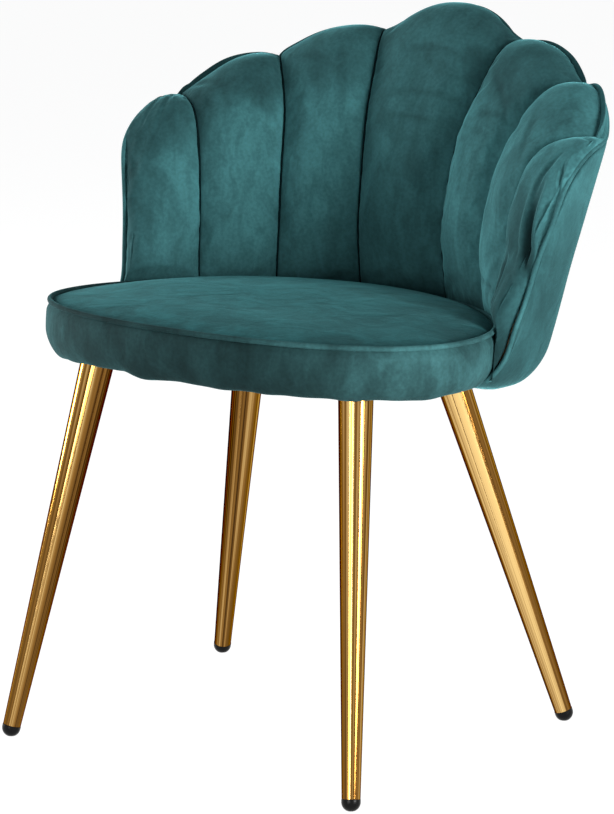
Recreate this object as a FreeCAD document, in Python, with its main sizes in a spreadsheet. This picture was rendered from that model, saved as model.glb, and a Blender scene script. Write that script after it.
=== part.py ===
import FreeCAD, Part
import os
from math import atan2, cos, pi, radians, sin, sqrt, tan

import Sketcher

# Scallop back dining chair: an upholstered seat on four splayed tapered tube legs, and a
# wrap-round back of seven padded petals with a corded edge.
# Frame: +Z up, the seat faces -Y, +X is to the right when looking along +Y. The origin is
# on the floor under the middle of the whole chair's box. Millimetres and degrees.
# Every piece of the seat is drawn level, hem at height 0, and tipped back by its Placement.

Vector = FreeCAD.Vector
X_AXIS = Vector(1, 0, 0)
Z_AXIS = Vector(0, 0, 1)

DIMENSIONS = (
    ("hem_height", 433.0, "floor to the hem at the front of the seat"),
    ("seat_tilt", 3.0, "the seat slopes down to the back"),
    ("seat_front", 274.6, "origin to the front of the seat outline"),
    ("seat_width", 524.0, "seat outline at its widest"),
    ("seat_front_depth", 163.0, "front of the outline to its widest line"),
    ("seat_rear_depth", 250.0, "widest line to the rear of the outline"),
    ("seat_front_power", 2.3, "squareness of the outline in front"),
    ("seat_rear_power", 1.85, "squareness of the outline behind"),
    ("seat_edge", 50.0, "hem to the middle of the seat piping"),
    ("seat_crown", 11.0, "rise of the seat in its middle"),
    ("piping_dia", 6.0, "covered cord of the seat and the back"),
    ("border_wall", 5.0, "side band of the seat, velvet on wadding"),
    ("border_tuck", 11.0, "how far the side band draws in under the seat"),
    ("border_round", 18.0, "height over which it draws in"),
    ("top_cover_wall", 2.0, "velvet top panel of the seat"),
    ("board_wall", 12.0, "plywood seat board"),
    ("board_lift", 5.0, "hem to the underside of the board"),
    ("dust_wall", 0.8, "dust cover under the seat"),
    ("dust_clearance", 6.0, "around a leg in the dust cover"),
    ("fit_gap", 0.3, "between pieces that lie on each other"),
    ("pad_gap", 3.4, "between the seat and the lower ends of the petals"),
    ("pad_clearance", 1.8, "between the petals and the shell"),
    ("edge_gap", 1.3, "between the piping of the back and what it closes"),
    ("arm_setback", 11.0, "half the seat width to the back's outside at the hem"),
    ("flare_mid", 44.0, "how far each side of the back leans out, half way up"),
    ("flare_top", 60.0, "the same at the top"),
    ("back_clearance", 48.6, "rear of the seat to the outside of the back at the hem"),
    ("lean_mid", 36.0, "how far the back leans rearwards, half way up"),
    ("lean_top", 96.0, "the same at the top"),
    ("axis_offset", 126.0, "widest line of the seat to the middle of the back's curve"),
    ("axis_drift", 46.0, "how far that middle moves forward at the top"),
    ("back_power", 2.69, "squareness of the back in plan"),
    ("back_height", 337.0, "hem to the level of the top flare and lean"),
    ("outer_wall", 6.0, "outer cover of the back, velvet on wadding"),
    ("shell_gap", 1.5, "between the outer cover and the moulded shell"),
    ("shell_wall", 12.0, "moulded plywood shell"),
    ("shell_margin", 26.0, "how far the shell stops short of the scalloped edge"),
    ("petal_puff", 14.0, "crown of each petal"),
    ("petal_edge", 5.0, "thickness of a petal at the scalloped edge"),
    ("petal_lift", 21.0, "hem to the lower ends of the petals"),
    ("pad_root", 30.0, "seat top to the level where the pads have their full depth"),
    ("pad_thinnest", 1.0, "least depth of a pad"),
    ("seam_gap", 0.4, "half of the gap between two petals"),
    ("leg_foot_dia", 20.0, "leg tube at the floor"),
    ("leg_top_dia", 38.0, "leg tube at the seat"),
    ("leg_wall", 1.5, "wall of the leg tube"),
    ("front_leg_inset", 92.0, "half the seat width to the front leg's top"),
    ("front_leg_setback", 93.0, "front of the seat to the front leg's top"),
    ("rear_leg_inset", 131.6, "half the seat width to the rear leg's top"),
    ("rear_leg_setback", 93.2, "rear of the seat to the rear leg's top"),
    ("front_splay_side", 8.0, "degrees"),
    ("front_splay_fore", 12.4, "degrees"),
    ("rear_splay_side", 14.8, "degrees"),
    ("rear_splay_aft", 11.8, "degrees"),
    ("cap_dia", 20.6, "foot cap"),
    ("cap_height", 9.0, "floor to the middle of the foot cap's dome"),
    ("cap_collar", 3.0, "straight band of the foot cap below the tube"),
    ("cap_stem", 14.0, "stem of the foot cap inside the tube"),
    ("plate_side", 46.0, "leg mounting plate"),
    ("plate_wall", 3.0, "leg mounting plate and brackets"),
    ("plate_corner", 10.0, "corner radius of the mounting plate"),
    ("plate_pitch", 34.0, "screw spacing of the mounting plate"),
    ("screw_dia", 4.0, "wood screw"),
    ("screw_head_dia", 7.6, "wood screw"),
    ("screw_head_wall", 1.0, "low head of the wood screw"),
    ("screw_length", 12.0, "wood screw under its head"),
    ("screw_clearance", 0.3, "around the screw in a plate"),
    ("pilot_clearance", 0.1, "around the screw in the board"),
    ("bracket_width", 34.0, "angle bracket between board and shell"),
    ("bracket_reach", 34.0, "bracket on the board"),
    ("bracket_rise", 17.0, "bracket against the shell"),
    ("bracket_bolt_rise", 10.2, "underside of the bracket to its bolt"),
    ("bracket_spacing", 80.0, "between neighbouring brackets"),
    ("bolt_dia", 6.0, "bolt through bracket and shell"),
    ("bolt_head_dia", 10.0, "across the bolt's round head"),
    ("bolt_head_wall", 3.5, "bolt head"),
    ("bolt_clearance", 0.3, "around the bolt"),
    ("insert_dia", 8.4, "threaded insert in the shell"),
    ("insert_length", 10.0, "threaded insert in the shell"),
    ("insert_sink", 1.0, "inner face of the shell to the insert"),
    ("insert_clearance", 0.1, "around the insert, and between it and the bolt"),
)

# One row for each line that runs up the back, from the middle of the centre petal to the
# front edge of the arm: its bearing at the hem and at the scalloped edge, the height of
# the edge above the hem, and the height over which the pad rounds over to that edge.
# A seam also has the depth of the pad there, low down and where the rounding starts.
BACK_LINES = (
    ("middle_1", 90.0, 90.0, 340.0, 105.0, None, None),
    ("seam_1", 67.7, 71.6, 309.5, 105.0, 54.0, 61.0),
    ("middle_2", None, 59.9, 304.6, 105.0, None, None),
    ("seam_2", 33.2, 48.2, 273.4, 105.0, 74.0, 84.0),
    ("middle_3", None, 36.6, 270.4, 90.0, None, None),
    ("seam_3", 7.1, 25.1, 234.3, 60.0, 60.0, 72.0),
    ("middle_4", None, 16.0, 223.5, 60.0, None, None),
    ("arm_edge", -8.7, 6.9, 187.0, 60.0, None, None),
)
for name, low, top, rise, turn, pad_low, pad_mid in BACK_LINES:
    if low is not None:
        DIMENSIONS += ((name + "_bearing", low, "bearing at the hem, degrees"),)
    DIMENSIONS += ((name + "_top_bearing", top, "bearing at the edge, degrees"),)
    DIMENSIONS += ((name + "_rise", rise, "hem to the edge"),)
    DIMENSIONS += ((name + "_turn", turn, "height of the rounding"),)
    if pad_low is not None:
        DIMENSIONS += ((name + "_pad_low", pad_low, "depth of the pad at its foot"),)
        DIMENSIONS += ((name + "_pad", pad_mid, "depth of the pad at the rounding"),)

PETAL_NAMES = ("right_arm", "right_side", "right_inner", "centre",
               "left_inner", "left_side", "left_arm")
# How far round the edge each section of a petal lies, in degrees: 90 is the edge itself.
ROUNDING_STEPS = (0, 22, 40, 54, 68, 80)
LAST_FULL_STEP = 54
STATIONS_PER_PETAL = 4
# Places round the back count petals from the middle of the centre petal.
ARM_EDGE_PLACE = 3.5
SHELL_END_PLACE = 2.6
PETAL_PITCH = 70.0
NEAREST_STATION = 0.05
# Outlines of the seat's side band, and shares of the outline where its crown is drawn.
BAND_STEPS = 12
DOME_SHARES = (1.0, 0.96, 0.9, 0.8, 0.65, 0.45, 0.2)
# How far a cutting tool goes past the face it cuts, and how much fatter than the cord the
# ball is that closes a joint of two cords.
OVERCUT = 1.0
JOINT_BALL = 1.02

doc = FreeCAD.newDocument("ScallopChair")
sheet = doc.addObject("Spreadsheet::Sheet", "Dims")
for row, (alias, value, note) in enumerate(DIMENSIONS, start=1):
    sheet.set("A%d" % row, str(value))
    sheet.setAlias("A%d" % row, alias)
    sheet.set("B%d" % row, note)
doc.recompute()

parts = {}


def dim(alias):
    """Value of one driving dimension."""
    return float(getattr(sheet, alias))


def bind(obj, **expressions):
    """Tie properties of an object to cells of the sheet."""
    for prop, expression in expressions.items():
        obj.setExpression(prop, expression)
    return obj


def add_part(label, obj):
    """Register an object as a sub-part under its own label."""
    obj.Label = label
    parts[label] = obj
    return obj


def add_shape(label, shape, placement=None):
    """A sub-part whose free form is worked out here."""
    feature = doc.addObject("Part::Feature", label)
    feature.Shape = shape
    feature.Placement = placement or FreeCAD.Placement()
    return add_part(label, feature)


def on_circle(angle, radius, centre_y, height):
    """Point at a bearing and distance from the back's middle line."""
    return Vector(radius * cos(angle), centre_y + radius * sin(angle), height)


def through_three(low, middle, high, t):
    """Quadratic that takes three values at t = 0, 1/2 and 1."""
    return (low * (1 - t) * (1 - 2 * t) + middle * 4 * t * (1 - t)
            + high * t * (2 * t - 1))


def arc_or_line(start, middle, end):
    """Arc through three points, or a straight edge where they are in line."""
    chord = end - start
    off_line = (middle - start).cross(chord).Length / chord.Length
    if off_line < 1e-4:
        return Part.LineSegment(start, end).toShape()
    return Part.Arc(start, middle, end).toShape()


# Seat outline


seat_tilt = radians(dim("seat_tilt"))
widest_y = -dim("seat_front") + dim("seat_front_depth")
rear_y = widest_y + dim("seat_rear_depth")
seat_placement = FreeCAD.Placement(
    Vector(0, 0, dim("hem_height")), FreeCAD.Rotation(X_AXIS, -dim("seat_tilt")),
    Vector(0, -dim("seat_front"), 0))


def hem_level(y, lift=0.0):
    """Height of the tipped hem plane, or of a plane parallel to it, at a depth y."""
    return dim("hem_height") + lift / cos(seat_tilt) - tan(seat_tilt) * (y + dim("seat_front"))


def outline_point(angle, inset):
    """Point and tangent of the seat outline; the angle runs from +X towards +Y."""
    half_width = dim("seat_width") / 2 - inset
    behind = sin(angle) > 0
    depth = (dim("seat_rear_depth") if behind else dim("seat_front_depth")) - inset
    power = dim("seat_rear_power") if behind else dim("seat_front_power")
    c, s = cos(angle), sin(angle)
    side = 1 if c >= 0 else -1
    fore = 1 if s >= 0 else -1
    point = Vector(side * half_width * abs(c) ** (2 / power),
                   widest_y + fore * depth * abs(s) ** (2 / power), 0)
    if abs(c) < 1e-9:
        return point, Vector(-fore, 0, 0)
    if abs(s) < 1e-9:
        return point, Vector(0, side, 0)
    tangent = Vector(-fore * half_width * abs(s) ** (2 - 2 / power),
                     side * depth * abs(c) ** (2 - 2 / power), 0)
    return point, tangent.normalize()


def tangent_arc(start, tangent, end):
    """Arc that leaves start along tangent and arrives at end."""
    chord = end - start
    turn = tangent.getAngle(chord)
    if turn < 1e-6:
        return Part.LineSegment(start, end).toShape()
    side = chord.cross(tangent)
    outward = side.cross(chord).normalize()
    middle = start + chord * 0.5 + outward * (chord.Length / 2 * tan(turn / 2))
    return Part.Arc(start, middle, end).toShape()


def biarc(start, start_tangent, end, end_tangent):
    """Two arcs with one tangent where they meet."""
    gap = end - start
    total = start_tangent + end_tangent
    spread = 2 * (1 - start_tangent.dot(end_tangent))
    along = gap.dot(total)
    reach = (-along + sqrt(along * along + spread * gap.dot(gap))) / spread
    corner_a = start + start_tangent * reach
    corner_b = end - end_tangent * reach
    joint = (corner_a + corner_b) * 0.5
    return (tangent_arc(start, start_tangent, joint),
            tangent_arc(joint, (corner_b - corner_a).normalize(), end))


def seat_ring(inset, height, share=1.0):
    """Outline of the seat, drawn in by inset, at a height above the hem and a share of its size."""
    middle = Vector(0, widest_y, 0)
    edges = []
    corners = []
    for step in range(9):
        point, tangent = outline_point(step * pi / 4, inset)
        corners.append((middle + (point - middle) * share, tangent))
    for (start, leave), (end, arrive) in zip(corners[:-1], corners[1:]):
        edges.extend(biarc(start, leave, end, arrive))
    wire = Part.Wire(edges)
    wire.translate(Vector(0, 0, height))
    return wire


def seat_loft(levels):
    """Solid through outlines given as (height, inset, share of the size)."""
    rings = [seat_ring(inset, height, share) for height, inset, share in levels]
    return Part.makeLoft(rings, True, True)


def band_levels(bottom, top, extra):
    """Side band of the seat, drawn in below: outlines from bottom to top, inset by extra more."""
    levels = []
    for step in range(BAND_STEPS + 1):
        height = bottom + (top - bottom) * (step / BAND_STEPS) ** 1.5
        low = max(1 - max(height, 0.0) / dim("border_round"), 0.0)
        high = max(height / dim("seat_edge") - 0.5, 0.0) * 2
        inset = dim("border_tuck") * low * low + dim("piping_dia") / 2 * high * high
        levels.append((height, inset + extra, 1.0))
    return levels


def seat_plate(height, wall, inset):
    """Flat plate with the seat's outline."""
    return Part.Face(seat_ring(inset, height)).extrude(Vector(0, 0, wall))


# Back surface: a squared oval in plan whose half width, rear and middle change with height


def level_share(height):
    """How far up the back a height is: 0 at the hem, 1 at the top level."""
    return (height - dim("hem_height")) / dim("back_height")


def back_plan(height):
    """Half width, depth behind the middle and the middle's Y at one height."""
    share = level_share(height)
    half_low = dim("seat_width") / 2 - dim("arm_setback")
    half_width = through_three(half_low, half_low + dim("flare_mid"),
                               half_low + dim("flare_top"), share)
    rear_low = rear_y + dim("back_clearance")
    rear = through_three(rear_low, rear_low + dim("lean_mid"),
                         rear_low + dim("lean_top"), share)
    middle = widest_y + dim("axis_offset") - dim("axis_drift") * share
    return half_width, rear - middle, middle


def back_point(bearing, height, inset):
    """Point on the back's outer surface, or inset towards the sitter."""
    half_width, depth, middle = back_plan(height)
    power = dim("back_power")
    angle = radians(bearing)
    radius = ((abs(cos(angle)) / half_width) ** power
              + (abs(sin(angle)) / depth) ** power) ** (-1 / power)
    return on_circle(angle, radius - inset, middle, height)


pad_back_inset = (dim("outer_wall") + dim("shell_gap") + dim("shell_wall")
                  + dim("pad_clearance"))
edge_back_inset = dim("outer_wall") + dim("fit_gap")
edge_drop = dim("piping_dia") / 2 + dim("edge_gap")


class BackLine:
    """One line up the back, from the hem to the scalloped edge, on the +X side."""

    def __init__(self, name, neighbours=None):
        self.neighbours = neighbours
        if neighbours:
            self.bearing = sum(line.bearing for line in neighbours) / 2
        else:
            self.bearing = dim(name + "_bearing")
        self.top_bearing = dim(name + "_top_bearing")
        self.edge = dim("hem_height") + dim(name + "_rise")
        self.turn = dim(name + "_turn")
        has_pad = not neighbours and name.startswith("seam")
        thin = dim("petal_edge") + dim("outer_wall") + dim("fit_gap")
        self.pad_low = dim(name + "_pad_low") if has_pad else thin
        self.pad = dim(name + "_pad") if has_pad else thin
        self.back_inset = pad_back_inset if has_pad or neighbours else edge_back_inset

    def at(self, height, inset):
        """Point of the line at a height, inset from the outer surface."""
        foot = dim("hem_height")
        share = (height - foot) / (self.edge - foot)
        bearing = self.bearing + (self.top_bearing - self.bearing) * share
        return back_point(bearing, height, inset)

    def foot(self, lift, inset):
        """Point of the line where it meets a plane parallel to the hem's."""
        height = hem_level(self.at(dim("hem_height"), inset).y, lift)
        point = self.at(height, inset)
        return Vector(point.x, point.y, hem_level(point.y, lift))


def back_lines():
    """All lines from the middle of the centre petal to the arm's edge."""
    names = [row[0] for row in BACK_LINES]
    lines = [None] * len(names)
    for index in (1, 3, 5, 7, 0):
        lines[index] = BackLine(names[index])
    for index in (2, 4, 6):
        lines[index] = BackLine(names[index], (lines[index - 1], lines[index + 1]))
    return lines


def mirrored(point):
    """The same point on the other side of the chair."""
    return Vector(-point.x, point.y, point.z)


# Petals


seat_top_gap = dim("piping_dia") / 2 + dim("pad_gap")


def beside_seat(outer, lift):
    """Point just outside the seat, in the direction of a point of the back."""
    angle = atan2(outer.y - widest_y, outer.x)
    half_width = dim("seat_width") / 2 + dim("pad_gap")
    depth = dim("seat_rear_depth") + dim("pad_gap")
    power = dim("seat_rear_power")
    radius = ((abs(cos(angle)) / half_width) ** power
              + (abs(sin(angle)) / depth) ** power) ** (-1 / power)
    x, y = radius * cos(angle), widest_y + radius * sin(angle)
    return Vector(x, y, hem_level(y, lift))


def line_sections(line):
    """Front and back points of a seam or an arm edge, section by section, edge last."""
    front, back = [], []
    for lift in (dim("petal_lift"), dim("seat_edge") + seat_top_gap):
        rear = line.foot(lift, line.back_inset)
        near = beside_seat(rear, lift)
        front.append(near)
        back.append(rear)
    start = line.edge - line.turn
    low = back[-1].z + dim("pad_root")
    for height, pad in ((low, line.pad_low), ((low + start) / 2, (line.pad_low + line.pad) / 2)):
        front.append(line.at(height, pad))
        back.append(line.at(height, min(pad_back_inset, pad - dim("pad_thinnest"))))
    begin = line.at(start, line.pad)
    top = line.edge - edge_drop
    end = line.at(top, edge_back_inset + dim("petal_edge"))
    for step in ROUNDING_STEPS:
        turn = radians(step)
        height = start + (top - start) * sin(turn)
        share = cos(turn)
        front.append(Vector(end.x + (begin.x - end.x) * share,
                            end.y + (begin.y - end.y) * share, height))
        full = line.back_inset
        fade = max(step - LAST_FULL_STEP, 0) / (90.0 - LAST_FULL_STEP)
        back.append(line.at(height, full + (edge_back_inset - full) * fade))
    front.append(end)
    back.append(line.at(top, edge_back_inset))
    return front, back


def crown_sections(line, left, right):
    """Front and back points of a petal's middle, between two finished side lines."""
    front, back = [], []
    start = line.edge - line.turn
    top = line.edge - edge_drop
    count = len(left[0])
    first_round = count - len(ROUNDING_STEPS) - 1
    for index in range(first_round + 1):
        halfway = (left[0][index] + right[0][index]) * 0.5
        rear_half = (left[1][index] + right[1][index]) * 0.5
        if index < 2:
            lift = (dim("petal_lift"), dim("seat_edge") + seat_top_gap)[index]
            rear = line.foot(lift, pad_back_inset)
            front.append(beside_seat(rear, lift))
            back.append(rear)
            continue
        height = start if index == first_round else rear_half.z
        inward = Vector(-halfway.x, back_plan(height)[2] - halfway.y, 0).normalize()
        puff = dim("petal_puff")
        front.append(Vector(halfway.x + inward.x * puff, halfway.y + inward.y * puff, height))
        deepest = (line.at(height, 0) - front[-1]).Length - dim("pad_thinnest")
        back.append(line.at(height, min(pad_back_inset, deepest)))
    begin = front[-1]
    end = line.at(top, edge_back_inset + dim("petal_edge"))
    for step in ROUNDING_STEPS[1:]:
        turn = radians(step)
        height = start + (top - start) * sin(turn)
        share = cos(turn)
        front.append(Vector(end.x + (begin.x - end.x) * share,
                            end.y + (begin.y - end.y) * share, height))
        fade = max(step - LAST_FULL_STEP, 0) / (90.0 - LAST_FULL_STEP)
        back.append(line.at(height, pad_back_inset + (edge_back_inset - pad_back_inset) * fade))
    front.append(end)
    back.append(line.at(top, edge_back_inset))
    return front, back


def drawn_together(point, other, gap):
    """A point moved towards another by a gap."""
    return point + (other - point).normalize() * gap


def flatten(points, plane_points):
    """Points moved onto the plane of three others."""
    a, b, c = plane_points
    normal = (b - a).cross(c - a).normalize()
    return [p - normal * (p - a).dot(normal) for p in points]


def petal(left, middle, right):
    """Crowned pad between two seams, each given as front and back points."""
    wires = []
    gap = dim("seam_gap")
    count = len(left[0])
    for index in range(count):
        front_left = drawn_together(left[0][index], right[0][index], gap)
        front_right = drawn_together(right[0][index], left[0][index], gap)
        back_left = drawn_together(left[1][index], right[1][index], gap)
        back_right = drawn_together(right[1][index], left[1][index], gap)
        front_middle, back_middle = middle[0][index], middle[1][index]
        if index in (0, count - 1):
            back_points = (back_left, back_middle, back_right)
            front_left, front_middle, front_right = flatten(
                (front_left, front_middle, front_right), back_points)
        wires.append(Part.Wire([
            arc_or_line(front_left, front_middle, front_right),
            Part.LineSegment(front_right, back_right).toShape(),
            arc_or_line(back_right, back_middle, back_left),
            Part.LineSegment(back_left, front_left).toShape()]))
    return Part.makeLoft(wires, True, True)


def mirror_lines(sections):
    """Front and back points of a line on the other side of the chair."""
    return [[mirrored(point) for point in side] for side in sections]


def build_petals(lines):
    """The seven petals, from the right arm to the left arm."""
    sides = {index: line_sections(lines[index]) for index in (1, 3, 5, 7)}
    left_of_centre = mirror_lines(sides[1])
    centre = crown_sections(lines[0], left_of_centre, sides[1])
    shapes = {"centre": petal(left_of_centre, centre, sides[1])}
    for word, inner, middle, outer in (("inner", 1, 2, 3), ("side", 3, 4, 5), ("arm", 5, 6, 7)):
        crown = crown_sections(lines[middle], sides[inner], sides[outer])
        shapes["right_" + word] = petal(sides[inner], crown, sides[outer])
        shapes["left_" + word] = petal(mirror_lines(sides[outer]), mirror_lines(crown),
                                       mirror_lines(sides[inner]))
    for name in PETAL_NAMES:
        add_shape("petal_" + name, shapes[name])


# Shell, outer cover and piping of the back


def edge_line(lines, place):
    """Bearings, edge height and foot lift at a place: 0 is the middle, 3.5 the arm's edge."""
    side = abs(place)
    index = min(int(side + 0.5), 3)
    knots = (lines[1], lines[0], lines[1]) if index == 0 else lines[2 * index - 1:2 * index + 2]
    t = side - index + 0.5
    low = [line.bearing for line in knots]
    top = [line.top_bearing for line in knots]
    if index == 0:
        low[0] = 180 - low[0]
        top[0] = 180 - top[0]
    return (through_three(*low, t), through_three(*top, t),
            through_three(*[line.edge for line in knots], t))


def wall_station(lines, place, insets, edge_height, lift):
    """Four-sided section of a curved wall, from the hem up to an edge height."""
    bearing, top_bearing, full_edge = edge_line(lines, place)
    foot = dim("hem_height")
    columns = []
    for inset in insets:
        base = back_point(bearing, hem_level(back_point(bearing, foot, inset).y, lift), inset)
        column = [base]
        for share in (0.5, 1.0):
            height = base.z + (edge_height - base.z) * share
            along = (height - foot) / (full_edge - foot)
            column.append(back_point(bearing + (top_bearing - bearing) * along, height, inset))
        columns.append(column)
    outer, inner = columns
    return outer, inner


def wall(lines, places, insets, edge_of, lift):
    """Curved wall through stations; both end sections are made flat."""
    wires = []
    for number, place in enumerate(places):
        outer, inner = wall_station(lines, place, insets, edge_of(place), lift)
        if place < 0:
            outer = [mirrored(p) for p in outer]
            inner = [mirrored(p) for p in inner]
        if number in (0, len(places) - 1):
            inner = flatten(inner, outer)
        wires.append(Part.Wire([
            arc_or_line(*outer),
            Part.LineSegment(outer[2], inner[2]).toShape(),
            arc_or_line(*reversed(inner)),
            Part.LineSegment(inner[0], outer[0]).toShape()]))
    return Part.makeLoft(wires, True, True)


def spread(limit):
    """Places from one end to the other, with every seam and petal middle among them."""
    count = len(PETAL_NAMES) * STATIONS_PER_PETAL
    inner = [step / STATIONS_PER_PETAL - ARM_EDGE_PLACE for step in range(count + 1)]
    kept = [place for place in inner if abs(place) < limit - NEAREST_STATION]
    return [-limit] + kept + [limit]


def shell_edge(lines, place):
    """Top of the shell: below the straight line from notch to notch."""
    seams = [lines[1].edge, lines[3].edge, lines[5].edge, lines[7].edge]
    side = max(abs(place) - 0.5, 0.0)
    index = min(int(side), 2)
    share = side - index
    return seams[index] * (1 - share) + seams[index + 1] * share - dim("shell_margin")


def build_back_walls(lines):
    """Moulded shell, with the bolt holes, and the outer cover."""
    shell_outer = dim("outer_wall") + dim("shell_gap")
    shell = wall(lines, spread(SHELL_END_PLACE), (shell_outer, shell_outer + dim("shell_wall")),
                 lambda place: shell_edge(lines, place), dim("fit_gap"))
    reach = Vector(0, 2 * dim("shell_wall"), 0)
    for bolt_point in bolt_points():
        shell = shell.cut(Part.makeCylinder(
            dim("insert_dia") / 2 + dim("insert_clearance"), 2 * reach.Length,
            bolt_point - reach, reach))
    add_shape("back_shell", shell)
    end_place = ARM_EDGE_PLACE - edge_drop / PETAL_PITCH
    cover = wall(lines, spread(end_place), (0.0, dim("outer_wall")),
                 lambda place: edge_line(lines, place)[2] - edge_drop, 0.0)
    add_shape("back_outer_cover", cover)


def cord(arc_edge):
    """Round cord along one arc."""
    radius = dim("piping_dia") / 2
    start = arc_edge.valueAt(arc_edge.FirstParameter)
    direction = arc_edge.tangentAt(arc_edge.FirstParameter)
    disc = Part.Face(Part.Wire([Part.Circle(start, direction, radius).toShape()]))
    circle = arc_edge.Curve
    span = arc_edge.LastParameter - arc_edge.FirstParameter
    return disc.revolve(circle.Center, circle.Axis, span * 180 / pi)


def build_back_piping(lines):
    """Corded edge: an arc over each petal and one down each arm."""
    inset = dim("piping_dia") / 2
    corners = [line.at(line.edge, inset) for line in lines]
    arm = lines[7]
    low = arm.foot(0.0, inset)
    half = arm.at((low.z + arm.edge) / 2, inset)
    arcs = [(corners[1], corners[2], corners[3]), (corners[3], corners[4], corners[5]),
            (corners[5], corners[6], corners[7]), (corners[7], half, low)]
    solid = cord(Part.Arc(mirrored(corners[1]), corners[0], corners[1]).toShape())
    for points in arcs:
        for side in (points, [mirrored(point) for point in points]):
            solid = solid.fuse(Part.makeSphere(inset * JOINT_BALL, side[0]))
            solid = solid.fuse(cord(Part.Arc(*side).toShape()))
    add_shape("back_piping", solid)


# Seat pieces


def leg_tops():
    """Where each leg's axis meets the underside of its plate, in the level seat."""
    front_x = dim("seat_width") / 2 - dim("front_leg_inset")
    rear_x = dim("seat_width") / 2 - dim("rear_leg_inset")
    front_y = -dim("seat_front") + dim("front_leg_setback")
    back_y = rear_y - dim("rear_leg_setback")
    under = dim("board_lift") - dim("plate_wall")
    return {"front_right": Vector(front_x, front_y, under),
            "front_left": Vector(-front_x, front_y, under),
            "rear_right": Vector(rear_x, back_y, under),
            "rear_left": Vector(-rear_x, back_y, under)}


def plate_screw_points():
    """Screw places of the four mounting plates, at the underside of the plates."""
    half = dim("plate_pitch") / 2
    return [top + Vector(sx * half, sy * half, 0)
            for top in leg_tops().values() for sx in (-1, 1) for sy in (-1, 1)]


def bracket_places():
    """Middle of each bracket's upright face, in the level seat."""
    places = []
    for number in (-1, 0, 1):
        x = number * dim("bracket_spacing")
        outermost = abs(x) + dim("bracket_width") / 2
        places.append((x, shell_face_y(outermost) - dim("fit_gap")))
    return places


def bracket_start(x):
    """Y of the front end of a bracket's flange, measured in from the board's rear edge."""
    outermost = abs(x) + dim("bracket_width") / 2
    inset = dim("border_tuck") + dim("border_wall")
    power = dim("seat_rear_power")
    share = (1 - (outermost / (dim("seat_width") / 2 - inset)) ** power) ** (1 / power)
    return widest_y + (dim("seat_rear_depth") - inset) * share - dim("bracket_reach")


def shell_face_y(x):
    """Y of the shell's inner face at a distance x from the middle, low in the back."""
    inset = dim("outer_wall") + dim("shell_gap") + dim("shell_wall")
    height = hem_level(rear_y, dim("board_lift"))
    half_width, depth, middle = back_plan(height)
    power = dim("back_power")
    share = (1 - (abs(x) / (half_width - inset)) ** power) ** (1 / power)
    return middle + (depth - inset) * share


def bracket_screw_points():
    """Screw places of the brackets, at the underside of their flanges."""
    under = dim("board_lift") - dim("plate_wall")
    offset = dim("bracket_width") / 4
    return [Vector(x + side * offset, bracket_start(x) + dim("bracket_reach") / 2, under)
            for x, _ in bracket_places() for side in (-1, 1)]


def bolt_points():
    """Bolt places in the row's frame, on the upright face of each bracket."""
    level = dim("board_lift") - dim("plate_wall") + dim("bracket_bolt_rise")
    return [seat_placement.multVec(Vector(x, y, level)) for x, y in bracket_places()]


def dome_levels(rim_height, inset, drop):
    """Crown of the seat: outlines that shrink as it rises, all lowered by drop."""
    levels = []
    for share in DOME_SHARES:
        rise = (dim("seat_edge") + dim("seat_crown") - rim_height) * (1 - share ** 4)
        levels.append((rim_height + rise + drop, inset, share))
    return levels


def build_seat():
    """Board, foam, top panel, side band, piping and dust cover."""
    piping = dim("piping_dia") / 2
    tuck = dim("border_tuck")
    edge = dim("seat_edge")
    border_wall = dim("border_wall")
    gap = dim("fit_gap")
    board_inset = tuck + border_wall
    board = seat_plate(dim("board_lift"), dim("board_wall"), board_inset)
    pilot = dim("screw_dia") / 2 + dim("pilot_clearance")
    for point in plate_screw_points() + bracket_screw_points():
        hole = Part.makeCylinder(pilot, dim("board_wall") + 2 * OVERCUT,
                                 Vector(point.x, point.y, dim("board_lift") - OVERCUT))
        board = board.cut(hole)
    add_shape("seat_board", board, seat_placement)

    band_top = edge - piping - gap
    band = seat_loft(band_levels(0.0, band_top, 0.0))
    hollow = seat_loft(band_levels(-OVERCUT, band_top + OVERCUT, border_wall))
    band = band.cut(hollow)
    for x, face_y in bracket_places():
        slot = Part.makeBox(dim("bracket_width") + 2 * gap, face_y, dim("board_lift") + gap + OVERCUT)
        slot.translate(Vector(x - dim("bracket_width") / 2 - gap, 0, -OVERCUT))
        band = band.cut(slot)
    add_shape("seat_border", band, seat_placement)

    foam_low = dim("board_lift") + dim("board_wall")
    cover = dim("top_cover_wall")
    rim = piping + border_wall + gap
    sides = band_levels(foam_low, edge - piping - cover, border_wall + gap)
    foam = seat_loft(sides + dome_levels(edge - piping, rim + cover, -cover))
    add_shape("seat_foam", foam, seat_placement)
    panel = seat_loft([(edge - piping - cover / 2, rim, 1.0)] + dome_levels(edge - piping, rim, 0.0))
    add_shape("seat_top_panel", panel.cut(foam), seat_placement)

    path = seat_ring(piping, edge)
    tubes = [cord(edge_arc) for edge_arc in path.Edges]
    add_shape("seat_piping", tubes[0].fuse(tubes[1:]).removeSplitter(), seat_placement)

    dust = seat_plate(0.0, dim("dust_wall"), board_inset + gap)
    for top in leg_tops().values():
        hole = Part.makeCylinder(dim("leg_top_dia") / 2 + dim("dust_clearance"),
                                 dim("dust_wall") + 2 * OVERCUT,
                                 Vector(top.x, top.y, -OVERCUT))
        dust = dust.cut(hole)
    add_shape("dust_cover", dust, seat_placement)


# Legs


def leg_axis(name):
    """Unit vector up the leg, from the foot to the seat."""
    front = name.startswith("front")
    side = 1 if name.endswith("right") else -1
    sideways = dim("front_splay_side") if front else dim("rear_splay_side")
    fore = -dim("front_splay_fore") if front else dim("rear_splay_aft")
    return Vector(-side * tan(radians(sideways)), -tan(radians(fore)), 1).normalize()


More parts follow.
